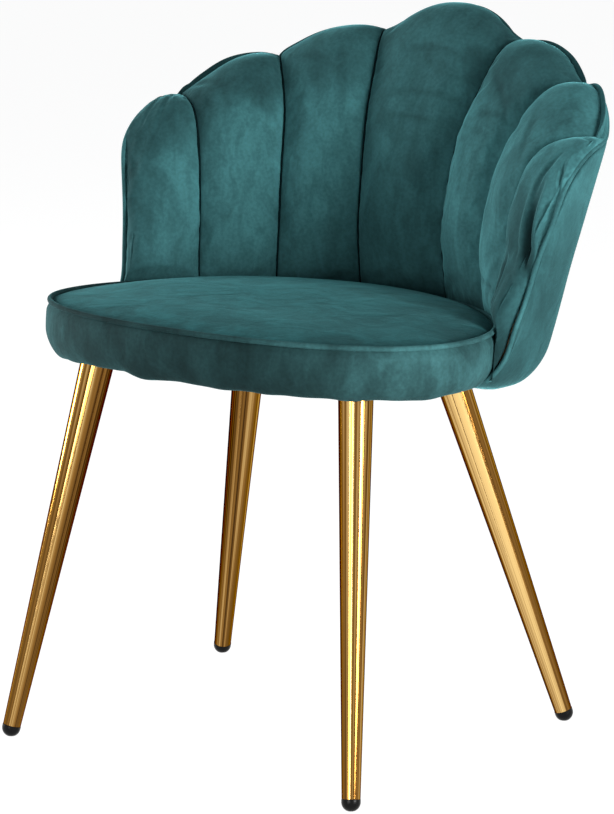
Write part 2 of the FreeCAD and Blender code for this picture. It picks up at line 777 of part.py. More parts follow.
def leg_frame(name):
    """Placement with its origin on the floor and +Z up the leg, and the leg's length."""
    top = seat_placement.multVec(leg_tops()[name])
    axis = leg_axis(name)
    length = top.z / axis.z
    foot = top - axis * length
    return FreeCAD.Placement(foot, FreeCAD.Rotation(Z_AXIS, axis)), length


def build_leg(name):
    """Tapered tube, cut off flush with the underside of its plate."""
    placement, length = leg_frame(name)
    tail = dim("leg_top_dia")
    start = (dim("cap_height") + dim("cap_collar")) / leg_axis(name).z
    cones = []
    for word, wall_text in (("outside", "0"), ("bore", "Dims.leg_wall")):
        cone = doc.addObject("Part::Cone", "leg_%s_%s" % (word, name))
        bind(cone, Radius1="Dims.leg_foot_dia / 2 - " + wall_text,
             Radius2="Dims.leg_top_dia / 2 - " + wall_text)
        cone.Height = length - start + tail
        cone.Placement = placement.multiply(FreeCAD.Placement(Vector(0, 0, start),
                                                              FreeCAD.Rotation()))
        cones.append(cone)
    tube = doc.addObject("Part::Cut", "leg_tube_" + name)
    tube.Base, tube.Tool = cones
    above = doc.addObject("Part::Box", "leg_above_" + name)
    above.Length = above.Width = above.Height = tail * 4
    top = leg_tops()[name]
    above.Placement = seat_placement.multiply(FreeCAD.Placement(
        Vector(top.x - tail * 2, top.y - tail * 2, top.z), FreeCAD.Rotation()))
    leg = doc.addObject("Part::Cut", "leg_cut_" + name)
    leg.Base, leg.Tool = tube, above
    add_part("leg_" + name, leg)


def build_cap(name):
    """Foot cap: dome, collar and stem, cut flat where it stands on the floor."""
    placement, _ = leg_frame(name)
    lift = dim("cap_height") / leg_axis(name).z
    raised = placement.multiply(FreeCAD.Placement(Vector(0, 0, lift), FreeCAD.Rotation()))
    dome = doc.addObject("Part::Sphere", "cap_dome_" + name)
    bind(dome, Radius="Dims.cap_dia / 2")
    dome.Placement = raised
    collar = doc.addObject("Part::Cylinder", "cap_collar_" + name)
    bind(collar, Radius="Dims.cap_dia / 2")
    start = (dim("cap_height") + dim("cap_collar")) / leg_axis(name).z
    collar.Height = start - lift - dim("fit_gap") / 3
    collar.Placement = raised
    upper = doc.addObject("Part::Box", "cap_above_" + name)
    upper.Length = upper.Width = upper.Height = dim("cap_dia") * 2
    upper.Placement = raised.multiply(FreeCAD.Placement(
        Vector(-dim("cap_dia"), -dim("cap_dia"), 0), FreeCAD.Rotation()))
    lower_dome = doc.addObject("Part::Cut", "cap_lower_dome_" + name)
    lower_dome.Base, lower_dome.Tool = dome, upper
    stem = doc.addObject("Part::Cylinder", "cap_stem_" + name)
    bind(stem, Radius="Dims.leg_foot_dia / 2 - Dims.leg_wall - Dims.fit_gap / 3")
    stem.Height = start - lift + dim("cap_stem")
    stem.Placement = raised
    whole = doc.addObject("Part::MultiFuse", "cap_whole_" + name)
    whole.Shapes = [lower_dome, collar, stem]
    ground = doc.addObject("Part::Box", "cap_ground_" + name)
    ground.Length = ground.Width = ground.Height = dim("cap_dia") * 2
    foot = placement.Base
    ground.Placement = FreeCAD.Placement(
        Vector(foot.x - dim("cap_dia"), foot.y - dim("cap_dia"), -dim("cap_dia") * 2),
        FreeCAD.Rotation())
    cap = doc.addObject("Part::Cut", "cap_cut_" + name)
    cap.Base, cap.Tool = whole, ground
    add_part("foot_cap_" + name, cap)


def rectangle(sketch, width, depth, width_cell, depth_cell):
    """Rectangle centred on the sketch's origin, with both sides driven by cells."""
    corners = [Vector(-width / 2, -depth / 2), Vector(width / 2, -depth / 2),
               Vector(width / 2, depth / 2), Vector(-width / 2, depth / 2)]
    for index in range(4):
        sketch.addGeometry(Part.LineSegment(corners[index], corners[(index + 1) % 4]))
    for index in range(4):
        sketch.addConstraint(Sketcher.Constraint("Coincident", index, 2, (index + 1) % 4, 1))
    for index, kind in enumerate(("Horizontal", "Vertical", "Horizontal", "Vertical")):
        sketch.addConstraint(Sketcher.Constraint(kind, index))
    sketch.addConstraint(Sketcher.Constraint("Symmetric", 0, 1, 1, 2, -1, 1))
    for index, value, name, cell in ((0, width, "width", width_cell),
                                     (1, depth, "depth", depth_cell)):
        place = sketch.addConstraint(Sketcher.Constraint("Distance", index, value))
        sketch.renameConstraint(place, name)
        sketch.setExpression("Constraints." + name, "Dims." + cell)


def body_sketch(body, name, plane_role):
    """Sketch on one of a body's own planes."""
    sketch = body.newObject("Sketcher::SketchObject", name)
    plane = [f for f in body.Origin.OriginFeatures if f.Role == plane_role][0]
    sketch.AttachmentSupport = (plane, [""])
    sketch.MapMode = "FlatFace"
    return sketch


def build_plate(name):
    """Square mounting plate with round corners and four screw holes."""
    body = doc.addObject("PartDesign::Body", "plate_" + name)
    sketch = body_sketch(body, "plate_outline_" + name, "XY_Plane")
    rectangle(sketch, dim("plate_side"), dim("plate_side"), "plate_side", "plate_side")
    pad = body.newObject("PartDesign::Pad", "plate_pad_" + name)
    pad.Profile = sketch
    bind(pad, Length="Dims.plate_wall")
    doc.recompute()
    corners = ["Edge%d" % (number + 1) for number, edge in enumerate(pad.Shape.Edges)
               if abs(edge.tangentAt(edge.FirstParameter).z) > 0.99]
    fillet = body.newObject("PartDesign::Fillet", "plate_corners_" + name)
    fillet.Base = (pad, corners)
    bind(fillet, Radius="Dims.plate_corner")
    holes = body_sketch(body, "plate_holes_" + name, "XY_Plane")
    half = dim("plate_pitch") / 2
    radius = dim("screw_dia") / 2 + dim("screw_clearance")
    for index, (sx, sy) in enumerate(((1, 1), (-1, 1), (-1, -1), (1, -1))):
        holes.addGeometry(Part.Circle(Vector(sx * half, sy * half), Z_AXIS, radius))
        size = holes.addConstraint(Sketcher.Constraint("Radius", index, radius))
        holes.setExpression("Constraints[%d]" % size,
                            "Dims.screw_dia / 2 + Dims.screw_clearance")
        for kind, sign in (("DistanceX", sx), ("DistanceY", sy)):
            place = holes.addConstraint(
                Sketcher.Constraint(kind, -1, 1, index, 3, sign * half))
            holes.setExpression("Constraints[%d]" % place,
                                "%d * Dims.plate_pitch / 2" % sign)
    pocket = body.newObject("PartDesign::Pocket", "plate_pocket_" + name)
    pocket.Profile = holes
    pocket.Type = "ThroughAll"
    pocket.Midplane = True
    top = leg_tops()[name]
    body.Placement = seat_placement.multiply(FreeCAD.Placement(top, FreeCAD.Rotation()))
    add_part("leg_plate_" + name, body)


def build_bracket(number, place):
    """Steel angle: a flange under the board and an upright against the shell."""
    x, face_y = place
    under = dim("board_lift") - dim("plate_wall")
    start_y = bracket_start(x)
    flange = doc.addObject("Part::Box", "bracket_flange_%d" % number)
    bind(flange, Length="Dims.bracket_width", Height="Dims.plate_wall")
    flange.Width = face_y - start_y
    upright = doc.addObject("Part::Box", "bracket_upright_%d" % number)
    bind(upright, Length="Dims.bracket_width", Width="Dims.plate_wall",
         Height="Dims.bracket_rise")
    flange.Placement = seat_placement.multiply(FreeCAD.Placement(
        Vector(x - dim("bracket_width") / 2, start_y, under), FreeCAD.Rotation()))
    upright.Placement = seat_placement.multiply(FreeCAD.Placement(
        Vector(x - dim("bracket_width") / 2, face_y - dim("plate_wall"), under),
        FreeCAD.Rotation()))
    angle = doc.addObject("Part::Fuse", "bracket_angle_%d" % number)
    angle.Base, angle.Tool = flange, upright
    holes = []
    for point in bracket_screw_points()[2 * number:2 * number + 2]:
        hole = doc.addObject("Part::Cylinder", "bracket_screw_hole_%d" % number)
        bind(hole, Radius="Dims.screw_dia / 2 + Dims.screw_clearance",
             Height="Dims.plate_wall * 3")
        hole.Placement = seat_placement.multiply(FreeCAD.Placement(
            point - Vector(0, 0, dim("plate_wall")), FreeCAD.Rotation()))
        holes.append(hole)
    bolt_hole = doc.addObject("Part::Cylinder", "bracket_bolt_hole_%d" % number)
    bind(bolt_hole, Radius="Dims.bolt_dia / 2 + Dims.bolt_clearance", Height="Dims.plate_wall * 4")
    bolt_hole.Placement = FreeCAD.Placement(
        bolt_points()[number] - Vector(0, dim("plate_wall") * 3, 0),
        FreeCAD.Rotation(X_AXIS, -90))
    holes.append(bolt_hole)
    drills = doc.addObject("Part::MultiFuse", "bracket_drills_%d" % number)
    drills.Shapes = holes
    bracket = doc.addObject("Part::Cut", "bracket_cut_%d" % number)
    bracket.Base, bracket.Tool = angle, drills
    add_part("back_bracket_" + ("left", "centre", "right")[number], bracket)


# Fasteners: one master each, copied to its places


def master(cylinders):
    """Turned piece made of cylinders on one axis: (radius, start, length)."""
    solid = None
    for radius, start, length in cylinders:
        piece = Part.makeCylinder(radius, length, Vector(0, 0, start))
        solid = piece if solid is None else solid.fuse(piece)
    return solid.removeSplitter()


def copies(label, solid, placements):
    """Group of equal solids."""
    shapes = []
    for placement in placements:
        piece = solid.copy()
        piece.Placement = placement
        shapes.append(piece)
    add_shape(label, Part.makeCompound(shapes))


def build_fasteners():
    """Wood screws, bolts and threaded inserts."""
    screw = master((
        (dim("screw_head_dia") / 2, -dim("screw_head_wall"), dim("screw_head_wall")),
        (dim("screw_dia") / 2, 0.0, dim("screw_length"))))
    for label, points in (("leg_screws", plate_screw_points()),
                          ("bracket_screws", bracket_screw_points())):
        copies(label, screw, [seat_placement.multiply(
            FreeCAD.Placement(point, FreeCAD.Rotation())) for point in points])
    shank = dim("plate_wall") + dim("fit_gap") + dim("shell_wall")
    bolt = master((
        (dim("bolt_head_dia") / 2, -dim("bolt_head_wall"), dim("bolt_head_wall")),
        (dim("bolt_dia") / 2, 0.0, shank)))
    backwards = FreeCAD.Rotation(X_AXIS, -90)
    head_back = Vector(0, dim("plate_wall") + 2 * dim("fit_gap"), 0)
    heads = [point - head_back for point in bolt_points()]
    copies("back_bolts", bolt, [FreeCAD.Placement(p, backwards) for p in heads])
    insert = Part.makeCylinder(dim("insert_dia") / 2, dim("insert_length")).cut(
        Part.makeCylinder(dim("bolt_dia") / 2 + dim("insert_clearance"), dim("insert_length")))
    seats = []
    for point, (x, face_y) in zip(bolt_points(), bracket_places()):
        sink = shell_face_y(x) - face_y + dim("insert_sink")
        seats.append(point + Vector(0, sink, 0))
    copies("shell_inserts", insert, [FreeCAD.Placement(p, backwards) for p in seats])


doc.recompute()
lines = back_lines()
build_petals(lines)
build_back_walls(lines)
build_back_piping(lines)
build_seat()
for leg_name in leg_tops():
    build_leg(leg_name)
    build_cap(leg_name)
    build_plate(leg_name)
for bracket_number, bracket_place in enumerate(bracket_places()):
    build_bracket(bracket_number, bracket_place)
build_fasteners()
doc.recompute()

for obj in doc.Objects:
    if "Invalid" in obj.State or "Error" in obj.State:
        raise RuntimeError("failed object: " + obj.Label)
for label, obj in parts.items():
    if obj.Shape.isNull() or not obj.Shape.isValid() or not obj.Shape.Solids:
        raise RuntimeError("bad shape: " + label)

os.makedirs("parts", exist_ok=True)
for label, obj in parts.items():
    obj.Shape.exportStep("parts/%s.step" % label)
    print(label, len(obj.Shape.Solids), round(obj.Shape.Volume / 1000.0, 1), "cm3")
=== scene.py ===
"""Scallop back dining chair in dark teal velvet, on gold-plated legs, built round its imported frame."""
import logging
import math
from dataclasses import dataclass
from enum import Enum
from typing import Sequence

import bpy
import numpy as np
from mathutils import Matrix, Quaternion, Vector


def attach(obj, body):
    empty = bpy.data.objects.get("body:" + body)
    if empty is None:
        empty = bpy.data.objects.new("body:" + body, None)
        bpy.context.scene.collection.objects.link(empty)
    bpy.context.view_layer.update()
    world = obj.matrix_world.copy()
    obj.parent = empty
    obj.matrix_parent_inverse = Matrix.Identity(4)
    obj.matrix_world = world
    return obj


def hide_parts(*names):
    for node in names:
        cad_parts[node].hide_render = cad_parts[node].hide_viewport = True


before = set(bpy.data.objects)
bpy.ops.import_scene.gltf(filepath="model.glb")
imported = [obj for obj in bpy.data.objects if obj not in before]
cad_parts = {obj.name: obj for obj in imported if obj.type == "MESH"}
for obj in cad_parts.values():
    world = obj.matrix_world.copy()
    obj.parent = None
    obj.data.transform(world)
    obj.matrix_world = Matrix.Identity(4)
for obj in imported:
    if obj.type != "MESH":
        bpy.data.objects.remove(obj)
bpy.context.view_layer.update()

LOG = logging.getLogger("chair")

MM = 0.001
TUBE_MAP = "tube_map"
PAINTED_LIGHT_ATTRIBUTE = "nap"
MERGE = 1e-6
Array = np.ndarray
Triple = tuple[float, float, float]
Pair = tuple[float, float]


# Small helpers


class Side(Enum):
    """The two mirrored sides of the chair, by the sign of X."""

    LEFT = -1
    RIGHT = 1


def ease(low: float, high: float, value: Array) -> Array:
    """Smooth step from 0 at low to 1 at high."""
    t = np.clip((value - low) / (high - low), 0.0, 1.0)
    return t * t * (3.0 - 2.0 * t)


def unit(vectors: Array) -> Array:
    """Vectors scaled to length 1."""
    return vectors / np.maximum(np.linalg.norm(vectors, axis=-1, keepdims=True), 1e-12)


def only(obj: bpy.types.Object) -> None:
    """Make one object the only one that is selected, and the active one.

    Args:
        obj: the object.
    """
    bpy.ops.object.select_all(action="DESELECT")
    obj.select_set(True)
    bpy.context.view_layer.objects.active = obj


def corners_of(obj: bpy.types.Object) -> Array:
    """All vertex places of a mesh, one row each.

    Args:
        obj: the mesh.

    Returns:
        Three coordinates a row.
    """
    flat = np.zeros(len(obj.data.vertices) * 3)
    obj.data.vertices.foreach_get("co", flat)
    return flat.reshape(-1, 3)


def place_corners(obj: bpy.types.Object, places: Array) -> None:
    """Write all vertex places of a mesh."""
    obj.data.vertices.foreach_set("co", np.ascontiguousarray(places, dtype=np.float64).ravel())
    obj.data.update()


def corner_normals(obj: bpy.types.Object) -> Array:
    """Vertex normals of a mesh, one row each.

    Args:
        obj: the mesh.

    Returns:
        Three components a row.
    """
    flat = np.zeros(len(obj.data.vertices) * 3, dtype=np.float32)
    obj.data.vertex_normals.foreach_get("vector", flat)
    return flat.reshape(-1, 3).astype(float)


def set_painted_light(obj: bpy.types.Object, values: Array | float) -> None:
    """Store painted light and shade at each vertex: above 1 the colour is painted lighter, below 1 darker.

    Args:
        obj: the mesh.
        values: one value for all vertices, or one for each.
    """
    count = len(obj.data.vertices)
    layer = obj.data.attributes.new(PAINTED_LIGHT_ATTRIBUTE, "FLOAT", "POINT")
    layer.data.foreach_set("value", np.ascontiguousarray(np.broadcast_to(values, (count,)), dtype=np.float32))


def finish_piece(obj: bpy.types.Object, name: str, levels: int = 0, angle: float = 180.0) -> bpy.types.Object:
    """Name a piece, subdivide it and shade it smooth.

    Args:
        obj: the mesh.
        name: the name of the piece.
        levels: levels of subdivision.
        angle: edges sharper than this, in degrees, stay sharp.

    Returns:
        The same object.
    """
    obj.name = name
    obj.data.name = name
    only(obj)
    if levels:
        bpy.ops.object.modifier_add(type="SUBSURF")
        modifier = obj.modifiers[-1]
        modifier.levels = levels
        modifier.render_levels = levels
        bpy.ops.object.modifier_apply(modifier=modifier.name)
    if angle >= 180.0:
        bpy.ops.object.shade_smooth()
    else:
        bpy.ops.object.shade_smooth_by_angle(angle=math.radians(angle))
    return obj


def grid_sheet(columns: int, rows: int) -> tuple[bpy.types.Object, Array, Array]:
    """A flat grid, and the share of its width and height at each vertex.

    Args:
        columns: faces across.
        rows: faces up.

    Returns:
        The object, and the two shares from 0 to 1.
    """
    bpy.ops.object.select_all(action="DESELECT")
    bpy.ops.mesh.primitive_grid_add(x_subdivisions=columns, y_subdivisions=rows, size=1.0)
    obj = bpy.context.active_object
    places = corners_of(obj)
    return obj, places[:, 0] + 0.5, places[:, 1] + 0.5


def thicken(obj: bpy.types.Object, wall: float, offset: float) -> None:
    """Give a sheet a wall: an offset of -1 grows it inwards, and 0 to both sides.

    Args:
        obj: the sheet.
        wall: thickness in metres.
        offset: -1 to grow it inwards, 0 to both sides.
    """
    modifier = obj.modifiers.new("wall", "SOLIDIFY")
    modifier.thickness = wall
    modifier.offset = offset
    only(obj)
    bpy.ops.object.modifier_apply(modifier=modifier.name)


def weld(obj: bpy.types.Object, merge: bool = True) -> None:
    """Turn all faces of a mesh outwards, and where asked merge points that lie on one another.

    Args:
        obj: the mesh.
        merge: True to merge points that lie on one another.
    """
    only(obj)
    bpy.ops.object.mode_set(mode="EDIT")
    bpy.ops.mesh.select_all(action="SELECT")
    if merge:
        bpy.ops.mesh.remove_doubles(threshold=MERGE)
    bpy.ops.mesh.normals_make_consistent(inside=False)
    bpy.ops.object.mode_set(mode="OBJECT")


def dress(obj: bpy.types.Object, finish: bpy.types.Material, node: str = "") -> None:
    """Give a piece its finish and body, and hide the node that it replaces.

    Args:
        obj: the piece.
        finish: its material.
        node: the solid that it stands for, or nothing where there is none.
    """
    obj.data.materials.append(finish)
    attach(obj, "root")
    if node:
        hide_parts(node)
    LOG.info("made %s", obj.name)


def close_behind(obj: bpy.types.Object, behind: Array) -> None:
    """Give an open sheet a back and side walls by extruding it.

    Args:
        obj: the sheet, whose vertices keep their order.
        behind: the place of each vertex's copy at the back.
    """
    front = corners_of(obj)
    count = len(front)
    only(obj)
    bpy.ops.object.mode_set(mode="EDIT")
    bpy.ops.mesh.select_all(action="SELECT")
    bpy.ops.mesh.extrude_region_move(TRANSFORM_OT_translate={"value": (0.0, 0.0, 0.0)})
    bpy.ops.object.mode_set(mode="OBJECT")
    places = corners_of(obj)
    chosen = np.zeros(len(places), dtype=bool)
    obj.data.vertices.foreach_get("select", chosen)
    assert chosen.sum() == count and len(places) == 2 * count
    places[~chosen] = behind
    places[chosen] = front
    place_corners(obj, places)
    weld(obj, merge=False)


class Course:
    """A smooth line through a few points, followed by the share of its length."""

    SAMPLES = 600

    def __init__(self, points: Sequence[Triple]) -> None:
        """Natural cubic spline through points given in millimetres.

        Args:
            points: places in millimetres.
        """
        knots = np.array(points, dtype=float) * MM
        chords = np.linalg.norm(np.diff(knots, axis=0), axis=1)
        self.times = np.concatenate([[0.0], np.cumsum(chords)])
        self.knots = knots
        self.bends = self._bends(chords)
        fine = np.linspace(0.0, self.times[-1], self.SAMPLES)
        self.line = self._value(fine)
        lengths = np.linalg.norm(np.diff(self.line, axis=0), axis=1)
        self.length = float(lengths.sum())
        self.shares = np.concatenate([[0.0], np.cumsum(lengths)]) / self.length

    def _bends(self, chords: Array) -> Array:
        """Second derivatives at the knots.

        Args:
            chords: distances between the knots.

        Returns:
            One row for each knot.
        """
        count = len(self.knots)
        matrix = np.eye(count)
        right = np.zeros_like(self.knots)
        for i in range(1, count - 1):
            matrix[i, i - 1:i + 2] = chords[i - 1], 2 * (chords[i - 1] + chords[i]), chords[i]
            right[i] = 6 * ((self.knots[i + 1] - self.knots[i]) / chords[i]
                            - (self.knots[i] - self.knots[i - 1]) / chords[i - 1])
        return np.linalg.solve(matrix, right)

    def _value(self, times: Array) -> Array:
        """Points of the spline at chord lengths.

        Args:
            times: distances along the chords.

        Returns:
            Places in metres, one row each.
        """
        index = np.clip(np.searchsorted(self.times, times, side="right") - 1, 0, len(self.times) - 2)
        step = (self.times[index + 1] - self.times[index])[:, None]
        a = (self.times[index + 1] - times)[:, None] / step
        b = 1.0 - a
        return (a * self.knots[index] + b * self.knots[index + 1]
                + ((a ** 3 - a) * self.bends[index] + (b ** 3 - b) * self.bends[index + 1])
                * step ** 2 / 6.0)

    def at(self, share: Array) -> Array:
        """Points at shares of the length."""
        share = np.atleast_1d(share)
        return np.stack([np.interp(share, self.shares, self.line[:, k]) for k in range(3)], axis=-1)


def tube(name: str, points: Array, radius: float, closed: bool = False, sides: int = 4) -> bpy.types.Object:
    """A round cord along points, made as a curve and turned into a mesh.

    Args:
        name: the piece's name.
        points: the line that it follows, in metres.
        radius: its radius in metres.
        closed: True for a ring.
        sides: resolution of its roundness.

    Returns:
        The mesh object.
    """
    data = bpy.data.curves.new(name, "CURVE")
    data.dimensions = "3D"
    data.bevel_depth = radius
    data.bevel_resolution = sides
    data.use_fill_caps = True
    spline = data.splines.new("POLY")
    spline.points.add(len(points) - 1)
    spline.points.foreach_set("co", np.hstack([points, np.ones((len(points), 1))]).ravel())
    spline.use_cyclic_u = closed
    obj = bpy.data.objects.new(name, data)
    bpy.context.scene.collection.objects.link(obj)
    only(obj)
    bpy.ops.object.convert(target="MESH")
    obj = bpy.context.active_object
    weld(obj)
    return finish_piece(obj, name, angle=60.0)


@dataclass(frozen=True)
class Inflation:
    """How a piece of cloth is blown out over its filling."""

    pressure: float = 3.0
    growth: float = 0.012
    cap: float = 0.006
    frames: int = 20
    bending: float = 0.4
    tension: float = 12.0

    def run(self, obj: bpy.types.Object, pinned: Array) -> None:
        """Simulate the cloth, and keep how far each point moved within the cap.

        Args:
            obj: the cloth.
            pinned: True for the vertices that are sewn down.
        """
        start = corners_of(obj)
        group = obj.vertex_groups.new(name="sewn")
        group.add([int(i) for i in np.where(pinned)[0]], 1.0, "REPLACE")
        only(obj)
        bpy.ops.object.modifier_add(type="CLOTH")
        modifier = obj.modifiers[-1]
        cloth = modifier.settings
        cloth.quality = 6
        cloth.mass = 0.25
        cloth.tension_stiffness = self.tension
        cloth.compression_stiffness = self.tension
        cloth.shear_stiffness = self.tension / 2
        cloth.bending_stiffness = self.bending
        cloth.air_damping = 2.0
        cloth.vertex_group_mass = group.name
        cloth.use_pressure = True
        cloth.uniform_pressure_force = self.pressure
        cloth.shrink_min = -self.growth
        cloth.effector_weights.gravity = 0.0
        modifier.collision_settings.use_collision = False
        scene = bpy.context.scene
        for number in range(1, self.frames + 1):
            scene.frame_set(number)
        bpy.ops.object.modifier_apply(modifier=modifier.name)
        scene.frame_set(1)
        obj.vertex_groups.clear()
        moved = corners_of(obj) - start
        far = np.linalg.norm(moved, axis=1, keepdims=True)
        held = self.cap * np.tanh(far / self.cap) / np.maximum(far, 1e-9)
        place_corners(obj, start + moved * held)


# Finishes


class Graph:
    """The nodes of a material or a world, linked as they are made."""

    def __init__(self, tree: bpy.types.NodeTree) -> None:
        """Start from an empty tree."""
        self.nodes, self.link = tree.nodes, tree.links.new
        self.nodes.clear()

    def add(self, kind: str, inputs: dict[str | int, object] | None = None,
            **settings: str) -> bpy.types.Node:
        """Make a node.

        Args:
            kind: its type, without the prefix that all types share.
            inputs: a number, a colour or another node's output for each input.
            settings: the node's own settings.

        Returns:
            The node.
        """
        node = self.nodes.new("ShaderNode" + kind)
        for name, value in settings.items():
            setattr(node, name, value)
        for name, value in (inputs or {}).items():
            if isinstance(value, bpy.types.NodeSocket):
                self.link(value, node.inputs[name])
            else:
                node.inputs[name].default_value = value
        return node

    def noise(self, scale: Triple, rate: float, detail: float = 3.0, distortion: float = 0.0,
              turn: Triple = (0.0, 0.0, 0.0)) -> bpy.types.NodeSocket:
        """Noise over the piece's own coordinates.

        Args:
            scale: how the coordinates are stretched, per axis.
            rate: scale of the noise.
            detail: octaves of finer noise.
            distortion: how far the noise is warped.
            turn: rotation of the pattern in degrees.

        Returns:
            The noise.
        """
        where = self.add("TexCoord").outputs["Object"]
        turned = [math.radians(value) for value in turn]
        mapping = self.add("Mapping", {"Scale": scale, "Rotation": turned, "Vector": where})
        return self.add("TexNoise", {"Scale": rate, "Detail": detail, "Distortion": distortion,
                                     "Vector": mapping.outputs["Vector"]}).outputs["Fac"]

    def remap(self, source: bpy.types.NodeSocket, spread: float, to_low: float,
              to_high: float) -> bpy.types.NodeSocket:
        """Stretch noise that lies within spread of a half to a new range, smoothly, and clamp it.

        Args:
            source: the noise.
            spread: half the range that is stretched.
            to_low: lowest result.
            to_high: highest result.

        Returns:
            The stretched value.
        """
        return self.add("MapRange", {"Value": source, "From Min": 0.5 - spread, "From Max": 0.5 + spread,
                                     "To Min": to_low, "To Max": to_high},
                        interpolation_type="SMOOTHSTEP").outputs["Result"]

    def math(self, operation: str, *values: bpy.types.NodeSocket | float) -> bpy.types.NodeSocket:
        """The result of an operation on outputs or numbers."""
        return self.add("Math", dict(enumerate(values)), operation=operation).outputs["Value"]

    def tinted(self, color: Triple, amount: bpy.types.NodeSocket) -> bpy.types.NodeSocket:
        """A colour made lighter and darker by a value."""
        return self.add("VectorMath", {0: color, "Scale": amount}, operation="SCALE").outputs["Vector"]

    def seen(self) -> bpy.types.NodeSocket:
        """1 for rays from the camera, a mirror or glass, and 0 for light that is scattered.

        Returns:
            The share.
        """
        rays = self.add("LightPath").outputs
        direct = self.math("MAXIMUM", rays["Is Camera Ray"], rays["Is Glossy Ray"])
        return self.math("MAXIMUM", direct, rays["Is Transmission Ray"])

    def bumps(self, shader: bpy.types.Node,
              layers: Sequence[tuple[bpy.types.NodeSocket, float, float]]) -> None:
        """Bumps laid on one another, each as (height, strength, depth in metres).

        Args:
            shader: the shader that takes the bumps.
            layers: a height, a strength and a depth in metres for each.
        """
        previous: dict[str | int, object] = {}
        for height, strength, depth in layers:
            bump = self.add("Bump", {"Strength": strength, "Distance": depth, "Height": height, **previous})
            previous = {"Normal": bump.outputs["Normal"]}
        self.link(previous["Normal"], shader.inputs["Normal"])


def new_material(name: str) -> tuple[bpy.types.Material, Graph, bpy.types.Node]:
    """A material with one Principled shader.

    Args:
        name: the material's name.

    Returns:
        The material, its graph, and the shader.
    """
    material = bpy.data.materials.new(name)
    material.use_nodes = True
    graph = Graph(material.node_tree)
    shader = graph.add("BsdfPrincipled")
    graph.add("OutputMaterial", {"Surface": shader.outputs["BSDF"]})
    return material, graph, shader


@dataclass(frozen=True)
class Velvet:
    """Short-pile velvet: dark when seen along the pile, light when seen across it."""

    name: str
    color: Triple = (0.0222, 0.0770, 0.0820)
    sheen: Triple = (0.24, 0.78, 0.83)
    sheen_weight: float = 0.50
    sheen_roughness: float = 0.30
    patch: float = 0.16
    stroke: float = 0.13
    spot: float = 0.10

    def make(self) -> bpy.types.Material:
        """The material: patches where the pile lies differently, fine pile and soft sheen, and painted light
        and shade from each vertex's stored value.

        Returns:
            The material.
        """
        material, graph, shader = new_material(self.name)
        patches = graph.noise((1.0, 1.0, 0.7), 17.0, 4.0, 0.9)
        strokes = graph.noise((1.0, 0.8, 0.30), 62.0, 3.0, 0.8, (24.0, 18.0, 0.0))
        mottle = graph.noise((1.0, 1.0, 1.0), 260.0)
        pile = graph.noise((1.0, 1.0, 1.0), 2200.0, 1.0)
        broad = graph.remap(patches, 0.18, 1.0 - self.patch, 1.0 + self.patch)
        lightness_scale = graph.remap(strokes, 0.18, 1.0 - self.stroke, 1.0 + self.stroke)
        spotted = graph.remap(mottle, 0.2, 1.0 - self.spot, 1.0 + self.spot)
        # Painted light and shade: each vertex's stored value scales the colour.
        painted_light_share = graph.add("Attribute", attribute_name=PAINTED_LIGHT_ATTRIBUTE).outputs["Fac"]
        amount = graph.math("MULTIPLY", graph.math("MULTIPLY", broad, lightness_scale), spotted)
        amount = graph.math("MULTIPLY", amount, painted_light_share)
        graph.link(graph.tinted(self.color, amount), shader.inputs["Base Color"])
        shader.inputs["Roughness"].default_value = 0.92
        shader.inputs["Specular IOR Level"].default_value = 0.08
        shader.inputs["Sheen Weight"].default_value = self.sheen_weight
        shader.inputs["Sheen Roughness"].default_value = self.sheen_roughness
        shader.inputs["Sheen Tint"].default_value = (*self.sheen, 1.0)
        graph.bumps(shader, ((patches, 0.35, 0.006), (strokes, 0.22, 0.0016), (mottle, 0.25, 0.0005),
                             (pile, 0.35, 0.0002)))
        return material


